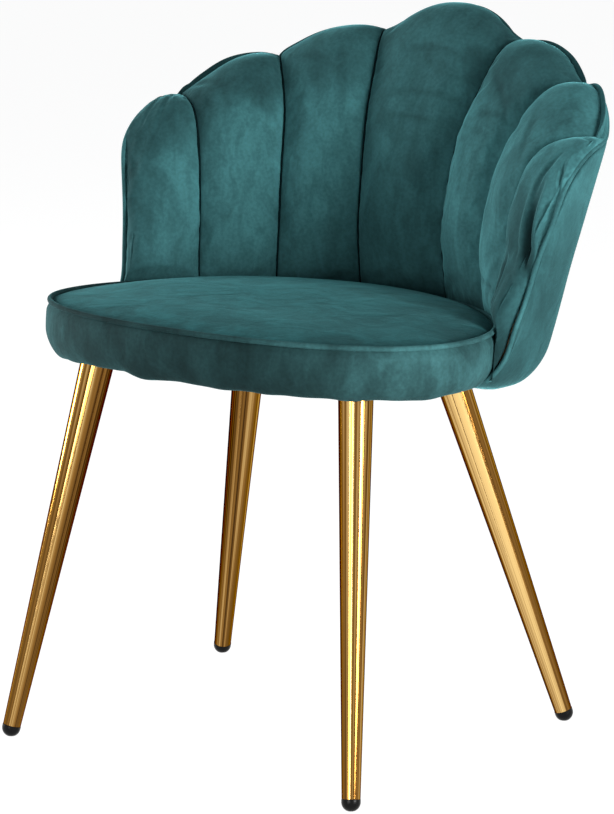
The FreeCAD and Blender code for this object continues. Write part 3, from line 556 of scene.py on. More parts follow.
@dataclass(frozen=True)
class GoldPlate:
    """Mirror-bright gold plating on drawn tube, with faint lengthwise polishing lines in its roughness, and
    painted reflections: dark and bright lengthwise stripes in its colour.
    """

    name: str = "gold_plate"
    dark: Triple = (0.035, 0.013, 0.003)
    middle: Triple = (0.25, 0.118, 0.024)
    bright: Triple = (0.82, 0.55, 0.21)
    rim: Triple = (0.12, 0.06, 0.02)
    roughness: float = 0.10
    fine_reflection_share: float = 0.36

    def make(self) -> bpy.types.Material:
        """The material.

        Returns:
            The material.
        """
        material, graph, shader = new_material(self.name)
        around = graph.add("UVMap", uv_map=TUBE_MAP).outputs["UV"]
        # Painted reflections: dark and bright lengthwise stripes round the tube make up the colour, from dark
        # brown through middle gold to bright gold.
        broad_reflection_stripes = self._painted_reflection_stripes(graph, around, 5.0, 0.35, 1.6)
        fine_reflection_stripes = self._painted_reflection_stripes(graph, around, 26.0, 0.25, 1.0)
        both = graph.add("Mix", {"Factor": self.fine_reflection_share, "A": broad_reflection_stripes, "B": fine_reflection_stripes})
        ramp = graph.add("ValToRGB", {"Fac": both.outputs["Result"]})
        stops = ramp.color_ramp.elements
        stops[0].position, stops[0].color = 0.34, (*self.dark, 1.0)
        stops[1].position, stops[1].color = 0.66, (*self.bright, 1.0)
        stops.new(0.50).color = (*self.middle, 1.0)
        graph.link(ramp.outputs["Color"], shader.inputs["Base Color"])
        shader.inputs["Metallic"].default_value = 1.0
        shader.inputs["Specular Tint"].default_value = (*self.rim, 1.0)
        lines = graph.noise((1.0, 1.0, 0.02), 900.0, 2.0)
        cloud = graph.noise((1.0, 1.0, 0.4), 30.0, 2.0)
        rough = graph.remap(lines, 0.2, self.roughness * 0.7, self.roughness * 1.5)
        graph.link(rough, shader.inputs["Roughness"])
        graph.bumps(shader, ((lines, 0.06, 0.0001), (cloud, 0.08, 0.0006)))
        return material

    @staticmethod
    def _painted_reflection_stripes(graph: Graph, around: bpy.types.NodeSocket, count: float, along: float,
                 detail: float) -> bpy.types.NodeSocket:
        """Painted reflections: lengthwise stripes that close up round the tube, noise on a circle by length.

        Args:
            graph: the material's nodes.
            around: the tube's map, round it and along it.
            count: how many stripes go round.
            along: how fast they change along the tube.
            detail: octaves of finer noise.

        Returns:
            The noise.
        """
        parts = graph.add("SeparateXYZ", {"Vector": around}).outputs
        turned = graph.math("MULTIPLY", parts["X"], 2.0 * math.pi)
        ring = {axis: graph.math("MULTIPLY", graph.math(wave, turned), count / math.pi)
                for axis, wave in (("X", "COSINE"), ("Y", "SINE"))}
        place = graph.add("CombineXYZ", {**ring, "Z": graph.math("MULTIPLY", parts["Y"], along)})
        return graph.add("TexNoise", {"Scale": 1.0, "Detail": detail,
                                      "Vector": place.outputs["Vector"]}).outputs["Fac"]


@dataclass(frozen=True)
class GrainyFinish:
    """A plain finish with a speckled surface: moulded plastic, cloth, steel or bare wood."""

    name: str
    color: Triple
    roughness: float
    metallic: float = 0.0
    rate: float = 600.0
    stretch: Triple = (1.0, 1.0, 1.0)
    contrast: float = 0.2
    depth: float = 0.0002
    specular: float = 0.5

    def make(self) -> bpy.types.Material:
        """The material.

        Returns:
            The material.
        """
        material, graph, shader = new_material(self.name)
        grain = graph.noise(self.stretch, self.rate)
        wear = graph.noise(self.stretch, self.rate / 12.0, 2.0, 0.4)
        fine, broad = (graph.remap(noise, 0.2, 1.0 - self.contrast, 1.0 + self.contrast)
                       for noise in (grain, wear))
        graph.link(graph.tinted(self.color, graph.math("MULTIPLY", fine, broad)), shader.inputs["Base Color"])
        shader.inputs["Metallic"].default_value = self.metallic
        shader.inputs["Specular IOR Level"].default_value = self.specular
        rough = graph.remap(wear, 0.2, self.roughness * 0.85, min(self.roughness * 1.15, 1.0))
        graph.link(rough, shader.inputs["Roughness"])
        graph.bumps(shader, ((grain, 0.4, self.depth),))
        return material


# Forms that several pieces share


@dataclass
class BackForm:
    """Outer surface of the back: a squared oval in plan that widens and leans back as it rises."""

    hem: float = 0.433
    rise: float = 0.337
    half_low: float = 0.251
    flare_mid: float = 0.044
    flare_top: float = 0.060
    rear_low: float = 0.187
    lean_mid: float = 0.036
    lean_top: float = 0.096
    middle_low: float = 0.0144
    drift: float = 0.046
    power: float = 2.69
    flare: float = 0.007
    draw_in: float = 0.008

    def swell(self, bearing: Array, height: Array) -> Array:
        """How far the sides stand out near their top, and draw in near the seat.

        Args:
            bearing: degrees from +X.
            height: metres above the floor.

        Returns:
            Metres outwards.
        """
        folded = np.where(bearing > 90.0, 180.0 - bearing, bearing)
        high = ease(0.58, 0.685, height) * np.exp(-((folded - 28.0) / 12.0) ** 2)
        low = (1.0 - ease(0.50, 0.61, height)) * np.exp(-((folded - 32.0) / 15.0) ** 2)
        return self.flare * high - self.draw_in * low

    def plan(self, height: Array) -> tuple[Array, Array, Array]:
        """Half width, depth behind the middle, and the middle's Y, at heights.

        Args:
            height: metres above the floor.

        Returns:
            The three measures, in metres.
        """
        t = (height - self.hem) / self.rise
        middle_share = 4.0 * t * (1.0 - t)
        high_share = t * (2.0 * t - 1.0)
        half = self.half_low + self.flare_mid * middle_share + self.flare_top * high_share
        rear = self.rear_low + self.lean_mid * middle_share + self.lean_top * high_share
        middle = self.middle_low - self.drift * t
        return half, rear - middle, middle

    def point(self, bearing: Array, height: Array, inset: Array) -> Array:
        """Points on the surface, or inset towards the sitter; the bearing is in degrees.

        Args:
            bearing: degrees from +X.
            height: metres above the floor.
            inset: metres in from the surface.

        Returns:
            Places in metres, one row each.
        """
        bearing, height, inset = np.broadcast_arrays(
            np.asarray(bearing, float), np.asarray(height, float), np.asarray(inset, float))
        half, depth, middle = self.plan(height)
        angle = np.radians(bearing)
        radius = ((np.abs(np.cos(angle)) / half) ** self.power
                  + (np.abs(np.sin(angle)) / depth) ** self.power) ** (-1.0 / self.power)
        radius = radius + self.swell(bearing, height) - inset
        return np.stack([radius * np.cos(angle), middle + radius * np.sin(angle), height], axis=-1)

    def locate(self, points: Array) -> tuple[Array, Array]:
        """Bearing in degrees, and distance in from the outer surface, of points.

        Args:
            points: places, one row each.

        Returns:
            The bearings and the distances.
        """
        _, _, middle = self.plan(points[:, 2])
        across, back = points[:, 0], points[:, 1] - middle
        bearing = np.degrees(np.arctan2(back, across))
        outer = self.point(bearing, points[:, 2], 0.0)
        reach = np.hypot(outer[:, 0], outer[:, 1] - middle)
        return bearing, reach - np.hypot(across, back)


@dataclass
class SeatForm:
    """Outline of the seat in plan, drawn level, and how the seat is tipped back."""

    half_width: float = 0.262
    front: float = -0.2746
    front_depth: float = 0.163
    rear_depth: float = 0.250
    front_power: float = 2.3
    rear_power: float = 1.85
    edge: float = 0.050
    crown: float = 0.011
    hem: float = 0.433
    tilt: float = 3.0

    @property
    def widest(self) -> float:
        """Y of the widest line."""
        return self.front + self.front_depth

    def outline(self, count: int) -> Array:
        """Points evenly spaced round the outline, anticlockwise from +X.

        Args:
            count: how many points.

        Returns:
            Places in plan, one row each.
        """
        angle = np.linspace(0.0, 2.0 * np.pi, 7201)
        c, s = np.cos(angle), np.sin(angle)
        power = np.where(s > 0, self.rear_power, self.front_power)
        depth = np.where(s > 0, self.rear_depth, self.front_depth)
        x = self.half_width * np.sign(c) * np.abs(c) ** (2.0 / power)
        y = self.widest + depth * np.sign(s) * np.abs(s) ** (2.0 / power)
        length = np.concatenate([[0.0], np.cumsum(np.hypot(np.diff(x), np.diff(y)))])
        wanted = np.arange(count) / count * length[-1]
        return np.stack([np.interp(wanted, length, x), np.interp(wanted, length, y)], axis=-1)

    def drawn_in(self, ring: Array, inset: float) -> Array:
        """A ring moved inwards along its own normals."""
        return ring - self.outward(ring) * inset

    @staticmethod
    def outward(ring: Array) -> Array:
        """The outward normals of a closed ring in plan."""
        along = np.roll(ring, -1, axis=0) - np.roll(ring, 1, axis=0)
        return unit(np.stack([along[:, 1], -along[:, 0]], axis=-1))

    def tipped(self, points: Array) -> Array:
        """Points of the level seat, hem at 0, moved to where the seat is.

        Args:
            points: places, one row each.

        Returns:
            The moved places.
        """
        c, s = math.cos(math.radians(self.tilt)), math.sin(math.radians(self.tilt))
        y = points[:, 1] - self.front
        return np.stack([points[:, 0], self.front + y * c + points[:, 2] * s,
                         self.hem - y * s + points[:, 2] * c], axis=-1)

    @property
    def slope(self) -> float:
        """How far the seat falls per metre towards the rear."""
        return math.tan(math.radians(self.tilt))

    def lift_of(self, points: Array) -> Array:
        """Height of points above the tipped hem plane."""
        level = points[:, 2] - self.hem + self.slope * (points[:, 1] - self.front)
        return level * math.cos(math.radians(self.tilt))

    def size_at(self, x: Array, y: Array) -> Array:
        """1 on the outline, less inside it and more outside; Y is counted from the widest line.

        Args:
            x: distance across.
            y: distance behind the widest line.

        Returns:
            The share of the outline's size.
        """
        power = np.where(y > 0, self.rear_power, self.front_power)
        depth = np.where(y > 0, self.rear_depth, self.front_depth)
        return ((np.abs(x) / self.half_width) ** power + (np.abs(y) / depth) ** power) ** (1.0 / power)

    def pushed_clear(self, points: Array, gap: float, fade: float) -> Array:
        """Points moved out past the seat where they are level with it, less so just above it.

        Args:
            points: places, one row each.
            gap: how far they stay from the seat, in metres.
            fade: how much of the gap is lost 20 mm above the seat's edge.

        Returns:
            The moved places.
        """
        x, y = points[:, 0], points[:, 1] - self.widest
        size = self.size_at(x, y)
        reach = np.maximum(np.hypot(x, y), 1e-6)
        above = np.maximum(self.lift_of(points) - self.edge, 0.0)
        wanted = 1.0 + (gap - fade * (above / 0.02) ** 2) * size / reach
        factor = np.maximum(wanted / size, 1.0)
        out = points.copy()
        out[:, 0] = x * factor
        out[:, 1] = self.widest + y * factor
        return out


# The back


@dataclass(frozen=True)
class Crease:
    """A soft valley in a petal: its ends in shares of the petal's width and height, its width and depth in
    metres, and how much painted shade darkens it; below zero it is painted light.
    """

    start: Pair
    end: Pair
    width: float
    depth: float
    shade: float = 0.25


# Painted light and shade on each petal: lightness across the middle and at the top, the change of it from one
# side to the other, and how much darker the foot is, which is painted shade by the seat.
PAINTED_LIGHT_LEVELS = {
    "petal_left_arm": (1.26, 0.76, 0.50, 0.34),
    "petal_left_side": (1.66, 0.76, 0.10, 0.34),
    "petal_left_inner": (1.56, 1.04, -0.12, 0.36),
    "petal_centre": (1.26, 0.92, -0.18, 0.14),
    "petal_right_inner": (1.74, 0.92, -0.12, 0.26),
    "petal_right_side": (1.52, 1.52, -0.36, -0.46),
    "petal_right_arm": (0.86, 1.80, -0.26, 0.66),
}
CREASES = {
    "petal_left_arm": (
        Crease((0.96, 0.975), (0.52, 0.80), 0.0036, 0.0012, -0.12),
        Crease((0.90, 0.985), (0.30, 0.89), 0.0035, 0.0006, -0.06),
        Crease((0.93, 0.94), (0.78, 0.74), 0.0030, 0.0007, -0.10)),
    "petal_left_side": (
        Crease((0.10, 0.93), (0.42, 0.80), 0.0050, 0.0010),
        Crease((0.55, 0.10), (0.95, 0.14), 0.0050, 0.0010)),
    "petal_left_inner": (
        Crease((0.15, 0.86), (0.55, 0.80), 0.0050, 0.0009),
        Crease((0.60, 0.07), (0.95, 0.11), 0.0040, 0.0010)),
    "petal_centre": (
        Crease((0.28, 0.80), (0.80, 0.805), 0.0028, 0.0009),
        Crease((0.22, 0.66), (0.93, 0.68), 0.0030, 0.0011),
        Crease((0.30, 0.60), (0.80, 0.59), 0.0026, 0.0008),
        Crease((0.05, 0.08), (0.45, 0.13), 0.0050, 0.0010)),
    "petal_right_inner": (
        Crease((0.30, 0.655), (0.80, 0.70), 0.0030, 0.0013),
        Crease((0.35, 0.61), (0.75, 0.62), 0.0026, 0.0010),
        Crease((0.25, 0.80), (0.75, 0.72), 0.0040, 0.0010),
        Crease((0.10, 0.10), (0.60, 0.16), 0.0050, 0.0012)),
    "petal_right_side": (
        Crease((0.15, 0.215), (0.85, 0.225), 0.0028, 0.0030, 0.40),
        Crease((0.55, 0.12), (0.90, 0.34), 0.0045, 0.0014),
        Crease((0.40, 0.80), (0.88, 0.70), 0.0050, 0.0011)),
    "petal_right_arm": (
        Crease((0.42, 0.88), (0.66, 0.71), 0.0050, 0.0032),
        Crease((0.66, 0.80), (0.92, 0.56), 0.0078, 0.0066, 0.80),
        Crease((0.46, 0.46), (0.56, 0.26), 0.0046, 0.0036, 0.60),
        Crease((0.60, 0.93), (0.95, 0.955), 0.0035, 0.0020),
        Crease((0.40, 0.26), (0.70, 0.20), 0.0050, 0.0014)),
}


@dataclass
class Petal:
    """One padded petal between two sewn seams."""

    name: str
    node: str
    left: Course
    right: Course
    edge: Course
    puff: float = 0.014
    foot: float = 0.35
    wrap: float = 0.0
    lumpiness: float = 0.0009
    painted_light_middle: float = 1.34
    painted_light_top: float = 0.88
    painted_light_slope: float = 0.0
    painted_shade_foot: float = 0.28
    creases: tuple[Crease, ...] = ()
    columns: int = 40
    rows: int = 84
    roll_start: float = 0.84
    seat_gap: float = 0.0032
    rear_low: float = 0.022
    rear_top: float = 0.0068
    thinnest: float = 0.0014

    def base(self, u: Array, s: Array) -> Array:
        """The petal's surface with no filling: between the seams, and up to its edge.

        Args:
            u: share of the petal's width.
            s: share of its height.

        Returns:
            Places in metres, one row each.
        """
        left, right = self.left.at(s), self.right.at(s)
        chord = left + (right - left) * u[:, None]
        top_left, top_right = self.left.at(np.ones(1))[0], self.right.at(np.ones(1))[0]
        flat_top = top_left + (top_right - top_left) * u[:, None]
        reach = (s ** 3.0)[:, None]
        return chord + reach * (self.edge.at(u) - flat_top)

    def front(self, u: Array, s: Array) -> Array:
        """The petal's padded face.

        Args:
            u: share of the petal's width.
            s: share of its height.

        Returns:
            Places in metres, one row each.
        """
        step = 1e-3
        here = self.base(u, s)
        across = self.base(np.minimum(u + step, 1.0), s) - self.base(np.maximum(u - step, 0.0), s)
        upward = self.base(u, np.minimum(s + step, 1.0)) - self.base(u, np.maximum(s - step, 0.0))
        normal = unit(np.cross(across, upward))
        round_u = (1.0 - np.abs(2.0 * u - 1.0) ** 2.5) ** 0.62
        top = np.clip((s - self.roll_start) / (1.0 - self.roll_start), 0.0, 1.0)
        round_s = np.sqrt(np.maximum(1.0 - top ** 2, 0.0))
        low = self.foot + (1.0 - self.foot) * ease(0.0, 0.35, s)
        out = here + normal * (self.puff * round_u * round_s * low)[:, None]
        if self.wrap:
            outward = u if self.right.at(np.ones(1))[0, 0] > 0 else 1.0 - u
            lobe = np.clip(np.sin(np.pi * outward ** 2.2), 0.0, 1.0) ** 0.8
            out[:, 1] -= self.wrap * lobe * (1.0 - ease(0.475, 0.56, here[:, 2]))
        return out

    def _size(self, s: Array) -> tuple[Array, float]:
        """The petal's width at each place, and its mean height, in metres.

        Args:
            s: share of its height.

        Returns:
            The widths and the height.
        """
        width = np.linalg.norm(self.right.at(s) - self.left.at(s), axis=1)
        return width, 0.5 * (self.left.length + self.right.length)

    def _beside(self, crease: Crease, u: Array, s: Array) -> tuple[Array, Array]:
        """Where places lie beside a crease.

        Args:
            crease: the crease.
            u: share of the petal's width.
            s: share of its height.

        Returns:
            Distance from the crease in its own widths, and its fade towards its ends.
        """
        width, height = self._size(s)
        a, b = (np.stack([end[0] * width, np.full_like(s, end[1] * height)], axis=-1)
                for end in (crease.start, crease.end))
        p = np.stack([u * width, s * height], axis=-1)
        line = b - a
        t = np.clip(((p - a) * line).sum(1) / np.maximum((line * line).sum(1), 1e-9), 0.0, 1.0)
        away = np.linalg.norm(p - a - line * t[:, None], axis=1) / crease.width
        return away, np.sin(np.pi * np.clip(0.08 + 0.84 * t, 0.0, 1.0)) ** 0.7

    def creased(self, u: Array, s: Array, points: Array, normals: Array) -> Array:
        """The padded face with its creases pressed in and its filling a little lumpy.

        Args:
            u: share of the petal's width.
            s: share of its height.
            points: the face, one row each.
            normals: its normals.

        Returns:
            The moved places.
        """
        depth = np.zeros(len(u))
        for crease in self.creases:
            away, taper = self._beside(crease, u, s)
            valley = np.exp(-away ** 2) - 0.45 * np.exp(-((away - 1.7) / 0.8) ** 2)
            depth += crease.depth * valley * taper
        width, height = self._size(s)
        number = float(sum(map(ord, self.node)) % 17)
        across, up = u * width, s * height
        lumps = (np.sin(across * 61.0 + up * 17.0 + number) * np.sin(up * 43.0 - across * 23.0 + 2.0 * number)
                 + 0.5 * np.sin(across * 120.0 - up * 61.0 + 3.0 * number) * np.sin(up * 97.0 + number))
        held = np.clip(8.0 * u * (1.0 - u), 0.0, 1.0) * np.clip(10.0 * s * (1.0 - s), 0.0, 1.0)
        depth += self.lumpiness * lumps * held
        return points - normals * depth[:, None]

    def nap(self, u: Array, s: Array) -> Array:
        """Painted light and shade: lighter across the middle, darker at the top and by the seat, with painted
        shade in the creases and a painted rim at each seam.

        Args:
            u: share of the petal's width.
            s: share of its height.

        Returns:
            The value at each place.
        """
        wander = 0.035 * np.sin(7.0 * u + float(len(self.name))) + 0.02 * np.sin(19.0 * u)
        light = self.painted_light_middle - (self.painted_light_middle - self.painted_light_top) * ease(0.62, 0.80, s + wander)
        # Painted highlight along the rounded top edge.
        light = light * (1.0 + 0.12 * ease(0.955, 0.99, s))
        # Painted shade at the foot, by the seat.
        light = light * (1.0 - self.painted_shade_foot * (1.0 - ease(0.06, 0.50, s)))
        # Painted shade in each crease; where its value is below zero it is painted light.
        for crease in self.creases:
            away, taper = self._beside(crease, u, s)
            light = light * (1.0 - crease.shade * np.exp(-(0.8 * away) ** 4) * taper)
        # Painted light along the petal's right edge and painted shade along its left edge, at the seams, and
        # a painted change of lightness from side to side.
        painted_seam_rims = 0.10 * np.exp(-((1.0 - u) / 0.06) ** 2) - 0.16 * np.exp(-(u / 0.07) ** 2)
        return light * (1.0 + painted_seam_rims + self.painted_light_slope * (u - 0.5))

    def build(self, back: BackForm, seat: SeatForm, inflation: Inflation) -> bpy.types.Object:
        """The closed, padded petal.

        Args:
            back: the back's outer surface, which the petal's rear follows.
            seat: the seat, which the petal stays clear of.
            inflation: how its cloth is blown out.

        Returns:
            The mesh object.
        """
        obj, u, s = grid_sheet(self.columns, self.rows)
        spaced = 0.5 - 0.5 * np.sign(1.0 - 2.0 * u) * np.abs(1.0 - 2.0 * u) ** 0.85
        u = np.clip(spaced, 0.0, 1.0)
        s = 1.0 - (1.0 - s) ** 1.4
        place_corners(obj, self.front(u, s))
        border = (u < 1e-6) | (u > 1.0 - 1e-6) | (s < 1e-6) | (s > 1.0 - 1e-6)
        inflation.run(obj, border)
        set_painted_light(obj, self.nap(u, s))
        points = self.creased(u, s, corners_of(obj), corner_normals(obj))
        points = seat.pushed_clear(points, self.seat_gap, 0.010)
        bearing, inset = back.locate(points)
        fade = ease(0.55, 0.98, s)
        deepest = self.rear_low * (1.0 - fade) + self.rear_top * fade
        least = 0.0064 - 0.0052 * ease(0.965, 0.998, s)
        if not self.wrap:
            shallow = inset < least + self.thinnest
            inset = np.maximum(inset, least + self.thinnest)
            points[shallow] = back.point(bearing, points[:, 2], inset)[shallow]
        place_corners(obj, points)
        rear_inset = np.clip(inset - self.thinnest, least, deepest)
        close_behind(obj, back.point(bearing, points[:, 2] - 0.002 * fade, rear_inset))
        return finish_piece(obj, self.name, levels=1)


@dataclass
class Back:
    """Seven petals, their seams, the outer cover and the piping along the scalloped edge."""

    form: BackForm
    seat: SeatForm
    velvet: bpy.types.Material
    shade: bpy.types.Material
    plywood: bpy.types.Material
    piping_radius: float = 0.0027
    cover_wall: float = 0.0058
    shell_gap: float = 0.0018
    shell_wall: float = 0.011
    tuck_wall: float = 0.004
    seam_radius: float = 0.0016
    petal_inset: float = 0.0026
    petal_rise: float = 0.0034
    arm_foot: float = 0.30
    arm_puff: float = 0.012
    arm_wrap: float = 0.022
    hem_roll: float = 0.040
    hem_tuck: float = 0.024
    inflation: Inflation = Inflation()
    seam_inner: tuple[Triple, ...] = (
        (59, 158, 440), (58.6, 156, 463), (56.9, 149, 522), (58.6, 157, 582), (64.5, 175, 647),
        (74.3, 204, 697), (88, 243, 738), (93, 254, 738.5))
    seam_side: tuple[Triple, ...] = (
        (145, 112, 440), (143, 110.5, 475), (140.5, 112, 535), (146, 126, 608), (161, 151, 662),
        (185, 177, 702), (209, 208, 704))
    seam_arm: tuple[Triple, ...] = (
        (203, 42, 424), (206, 46, 469), (210, 54, 545), (215, 60, 610), (236, 79, 654), (270, 108, 664))
    edge_inner: tuple[Pair, ...] = (
        (48.2, 701), (51.4, 705.5), (55.4, 716), (60.0, 726.5), (66.0, 733.5), (71.6, 736))
    edge_side: tuple[Pair, ...] = (
        (25.0, 661), (28.8, 664), (33.4, 675.5), (38.8, 690.5), (43.6, 698.5), (48.2, 701))
    edge_arm: tuple[Pair, ...] = (
        (6.9, 620), (9.5, 634), (13.0, 646.5), (17.8, 656.5), (21.5, 660), (25.0, 661))
    edge_centre: tuple[Pair, ...] = (
        (71.6, 736), (74.0, 739.5), (78.5, 751), (83.3, 762), (90.0, 767.5), (96.4, 760.5), (101.0, 748.5),
        (105.6, 738), (108.4, 736))
    arm_edge: tuple[Triple, ...] = (
        (246, -50, 420), (257.5, -39, 436), (262, -31, 451), (264, -21, 473), (269.5, -11, 501),
        (274, -4, 526), (280, 4, 556), (289, 14, 590), (299, 28, 622))

    def _edge(self, pairs: Sequence[Pair], inset: float, rise: float = 0.0) -> list[Triple]:
        """Points in millimetres of an edge given as bearings and heights.

        Args:
            pairs: bearings in degrees and heights in millimetres.
            inset: metres in from the outer surface.
            rise: metres above those heights.

        Returns:
            Places in millimetres.
        """
        bearing = np.array([pair[0] for pair in pairs])
        height = np.array([pair[1] for pair in pairs]) * MM + rise
        return [tuple(p / MM) for p in self.form.point(bearing, height, inset)]

    @staticmethod
    def _mirrored(points: Sequence[Triple]) -> list[Triple]:
        """Points on the other side."""
        return [(-x, y, z) for x, y, z in points]

    def petals(self) -> list[Petal]:
        """The seven petals, from the left arm to the right arm.

        Returns:
            The petals, not yet built.
        """
        inner, side, arm = list(self.seam_inner), list(self.seam_side), list(self.seam_arm)
        edges = {"inner": self.edge_inner, "side": self.edge_side, "arm": self.edge_arm,
                 "centre": self.edge_centre}
        tops = {name: self._edge(pairs, self.petal_inset, self.petal_rise) for name, pairs in edges.items()}
        for seam, corner in ((inner, tops["inner"][-1]), (side, tops["side"][-1]), (arm, tops["arm"][-1])):
            seam[-1] = corner
        front_edge = [(x - 4.0, y + 1.0, z) for x, y, z in self.arm_edge]
        front_edge[-1] = tops["arm"][0]
        made = []
        for word, near, far, top in (("inner", inner, side, tops["inner"]),
                                     ("side", side, arm, tops["side"]),
                                     ("arm", arm, front_edge, tops["arm"])):
            made.append(Petal("petal_right_" + word + "_cover", "petal_right_" + word, Course(near),
                              Course(far), Course(top[::-1])))
            made.append(Petal("petal_left_" + word + "_cover", "petal_left_" + word,
                              Course(self._mirrored(far)), Course(self._mirrored(near)),
                              Course(self._mirrored(top))))
        made.append(Petal("petal_centre_cover", "petal_centre", Course(self._mirrored(inner)), Course(inner),
                          Course(tops["centre"][::-1])))
        for petal in made:
            petal.creases = CREASES[petal.node]
            petal.painted_light_middle, petal.painted_light_top, petal.painted_light_slope, petal.painted_shade_foot = PAINTED_LIGHT_LEVELS[petal.node]
            if petal.node.endswith("_arm"):
                petal.foot, petal.puff, petal.wrap = self.arm_foot, self.arm_puff, self.arm_wrap
        return made

    def _arm_places(self) -> tuple[Array, Array, Array]:
        """Heights, bearings and insets down the front edge of the right arm.

        Returns:
            Three rows of the same length.
        """
        points = Course(self.arm_edge).at(np.linspace(0.0, 1.0, 60))
        bearing, inset = self.form.locate(points)
        return points[:, 2], bearing, inset

    def _wrapped(self, u: Array, s: Array, lower: float, upper: float) -> tuple[Array, Array, Array, Array]:
        """Where the outer cover runs, as bearing, height, inset and nearness to the hem.

        Args:
            u: share of the way from the left arm to the right arm.
            s: share of the way from the hem to the scalloped edge.
            lower: how far above the hem the sheet starts.
            upper: how far below the scalloped edge it ends.

        Returns:
            Bearing in degrees, height, inset, and 1 at the hem fading to 0 above the roll.
        """
        right = [*self.edge_arm[:-1], *self.edge_side[:-1], *self.edge_inner[:-1]]
        left = [(180.0 - b, h) for b, h in right]
        top = Course([(b, h, 0.0) for b, h in [*right, *self.edge_centre, *left[::-1]]])
        edge = top.at(1.0 - u) / MM
        side = 1.0 - 2.0 * u
        height_top = edge[:, 1] * MM - upper
        bearing_top = edge[:, 0]
        heights, arm_bearings, arm_insets = self._arm_places()
        tip = self.edge_arm[0][0]
        bearing_low = 90.0 + (bearing_top - 90.0) * (90.0 - arm_bearings[0]) / (90.0 - tip)
        base = self.form.point(bearing_low, self.form.hem, 0.0)
        drop = 0.013 + 0.009 * ease(-0.055, 0.02, base[:, 1]) - 0.018 * ease(0.05, 0.16, base[:, 1])
        hem = self.seat.hem - drop - self.seat.slope * (base[:, 1] - self.seat.front)
        height = hem + lower + (height_top - hem - lower) * s ** 1.15
        along = np.clip((height - self.form.hem) / (height_top - self.form.hem), -0.1, 1.0)
        bearing = bearing_low + (bearing_top - bearing_low) * along
        straight = arm_bearings[0] + (tip - arm_bearings[0]) * np.clip(along, 0.0, 1.0)
        bend = np.interp(height, heights, arm_bearings) - straight + 0.5
        pull = ease(0.45, 1.0, np.abs(side))
        bearing = bearing - np.sign(side) * bend * pull
        near_hem = np.clip(1.0 - (height - hem) / self.hem_roll, 0.0, 1.0)
        inset = self.hem_tuck * (1.0 - np.sqrt(np.maximum(1.0 - near_hem ** 2, 0.0)))
        at_arm = ease(0.90, 1.0, np.abs(side)) * (1.0 - ease(0.58, 0.62, height))
        inset = inset + at_arm * (np.interp(height, heights, arm_insets) - 0.0022)
        return bearing, height, inset, near_hem

    def build_cover(self) -> bpy.types.Object:
        """The smooth outer cover, turned in under its lower edge.

        Returns:
            The mesh object.
        """
        obj, u, s = grid_sheet(220, 48)
        bearing, height, inset, near_hem = self._wrapped(u, s, 0.0, 0.0036)
        # Painted shade towards the hem and painted light towards the top of the cover.
        set_painted_light(obj, 0.74 - 0.22 * near_hem ** 2 + 0.66 * ease(0.50, 0.66, height))
        place_corners(obj, self.form.point(bearing, height, inset))
        wall = self.cover_wall + 0.010 * near_hem ** 3
        close_behind(obj, self.form.point(bearing, height + 0.002 * near_hem, inset + wall))
        return finish_piece(obj, "back_cover_panel", levels=1, angle=60.0)

    def build_shell(self) -> bpy.types.Object:
        """The bent plywood shell inside, a little smaller than the cover all round.

        Returns:
            The mesh object.
        """
        obj, u, s = grid_sheet(110, 24)
        bearing, height, inset, _ = self._wrapped(0.02 + 0.96 * u, s, 0.012, 0.034)
        inset = inset + self.cover_wall + self.shell_gap
        place_corners(obj, self.form.point(bearing, height, inset))
        close_behind(obj, self.form.point(bearing, height, inset + self.shell_wall))
        return finish_piece(obj, "back_shell_panel", levels=1, angle=45.0)

    def build_tuck(self) -> bpy.types.Object:
        """The velvet tucked down between the petals' feet and the seat, which closes the gap there.

        Returns:
            The mesh object.
        """
        obj, u, s = grid_sheet(120, 10)
        outer = self.form.point(172.0 - 164.0 * u, 0.470, 0.017)[:, :2]
        middle = np.array([0.0, self.seat.widest])
        away = outer - middle
        size = self.seat.size_at(away[:, 0], away[:, 1])
        inner = middle + away * (0.985 / size)[:, None]
        flat = inner + (outer - inner) * s[:, None]
        lift = 0.022 + 0.020 * s ** 1.6 - 0.004 * np.sin(np.pi * s)
        height = self.seat.hem + lift - self.seat.slope * (flat[:, 1] - self.seat.front)
        points = np.column_stack([flat, height])
        place_corners(obj, points)
        # Painted shade on the tucked strip, down between the petals' feet and the seat.
        set_painted_light(obj, 0.7)
        close_behind(obj, points - np.array([0.0, 0.0, self.tuck_wall]))
        return finish_piece(obj, "back_tuck_strip")

    def build_piping(self) -> bpy.types.Object:
        """The covered cord along the scalloped edge and down both arms.

        Returns:
            The mesh object.
        """
        r = self.piping_radius
        right = list(self.arm_edge[:-1]) + [self._edge(self.edge_arm[:1], r)[0]]
        for pairs in (self.edge_arm, self.edge_side, self.edge_inner):
            right.extend(self._edge(pairs[1:], r))
        centre = self._edge(self.edge_centre[1:-1], r)
        course = Course(right + centre + self._mirrored(right)[::-1])
        return tube("back_piping_cord", course.at(np.linspace(0.0, 1.0, 700)), r)

    def build_seams(self) -> list[bpy.types.Object]:
        """Narrow near-black cords at the bottom of the six seams: painted shade in the sewn valleys.

        Returns:
            The six cords.
        """
        made = []
        for word, points in (("inner", self.seam_inner), ("side", self.seam_side), ("arm", self.seam_arm)):
            for side in Side:
                course = Course(points if side is Side.RIGHT else self._mirrored(points))
                places = course.at(np.linspace(0.0, 0.985, 90))
                bearing, inset = self.form.locate(places)
                places = self.form.point(bearing, places[:, 2], inset - 0.0012)
                made.append(tube("seam_%s_%s" % (side.name.lower(), word), places, self.seam_radius, sides=2))
        return made

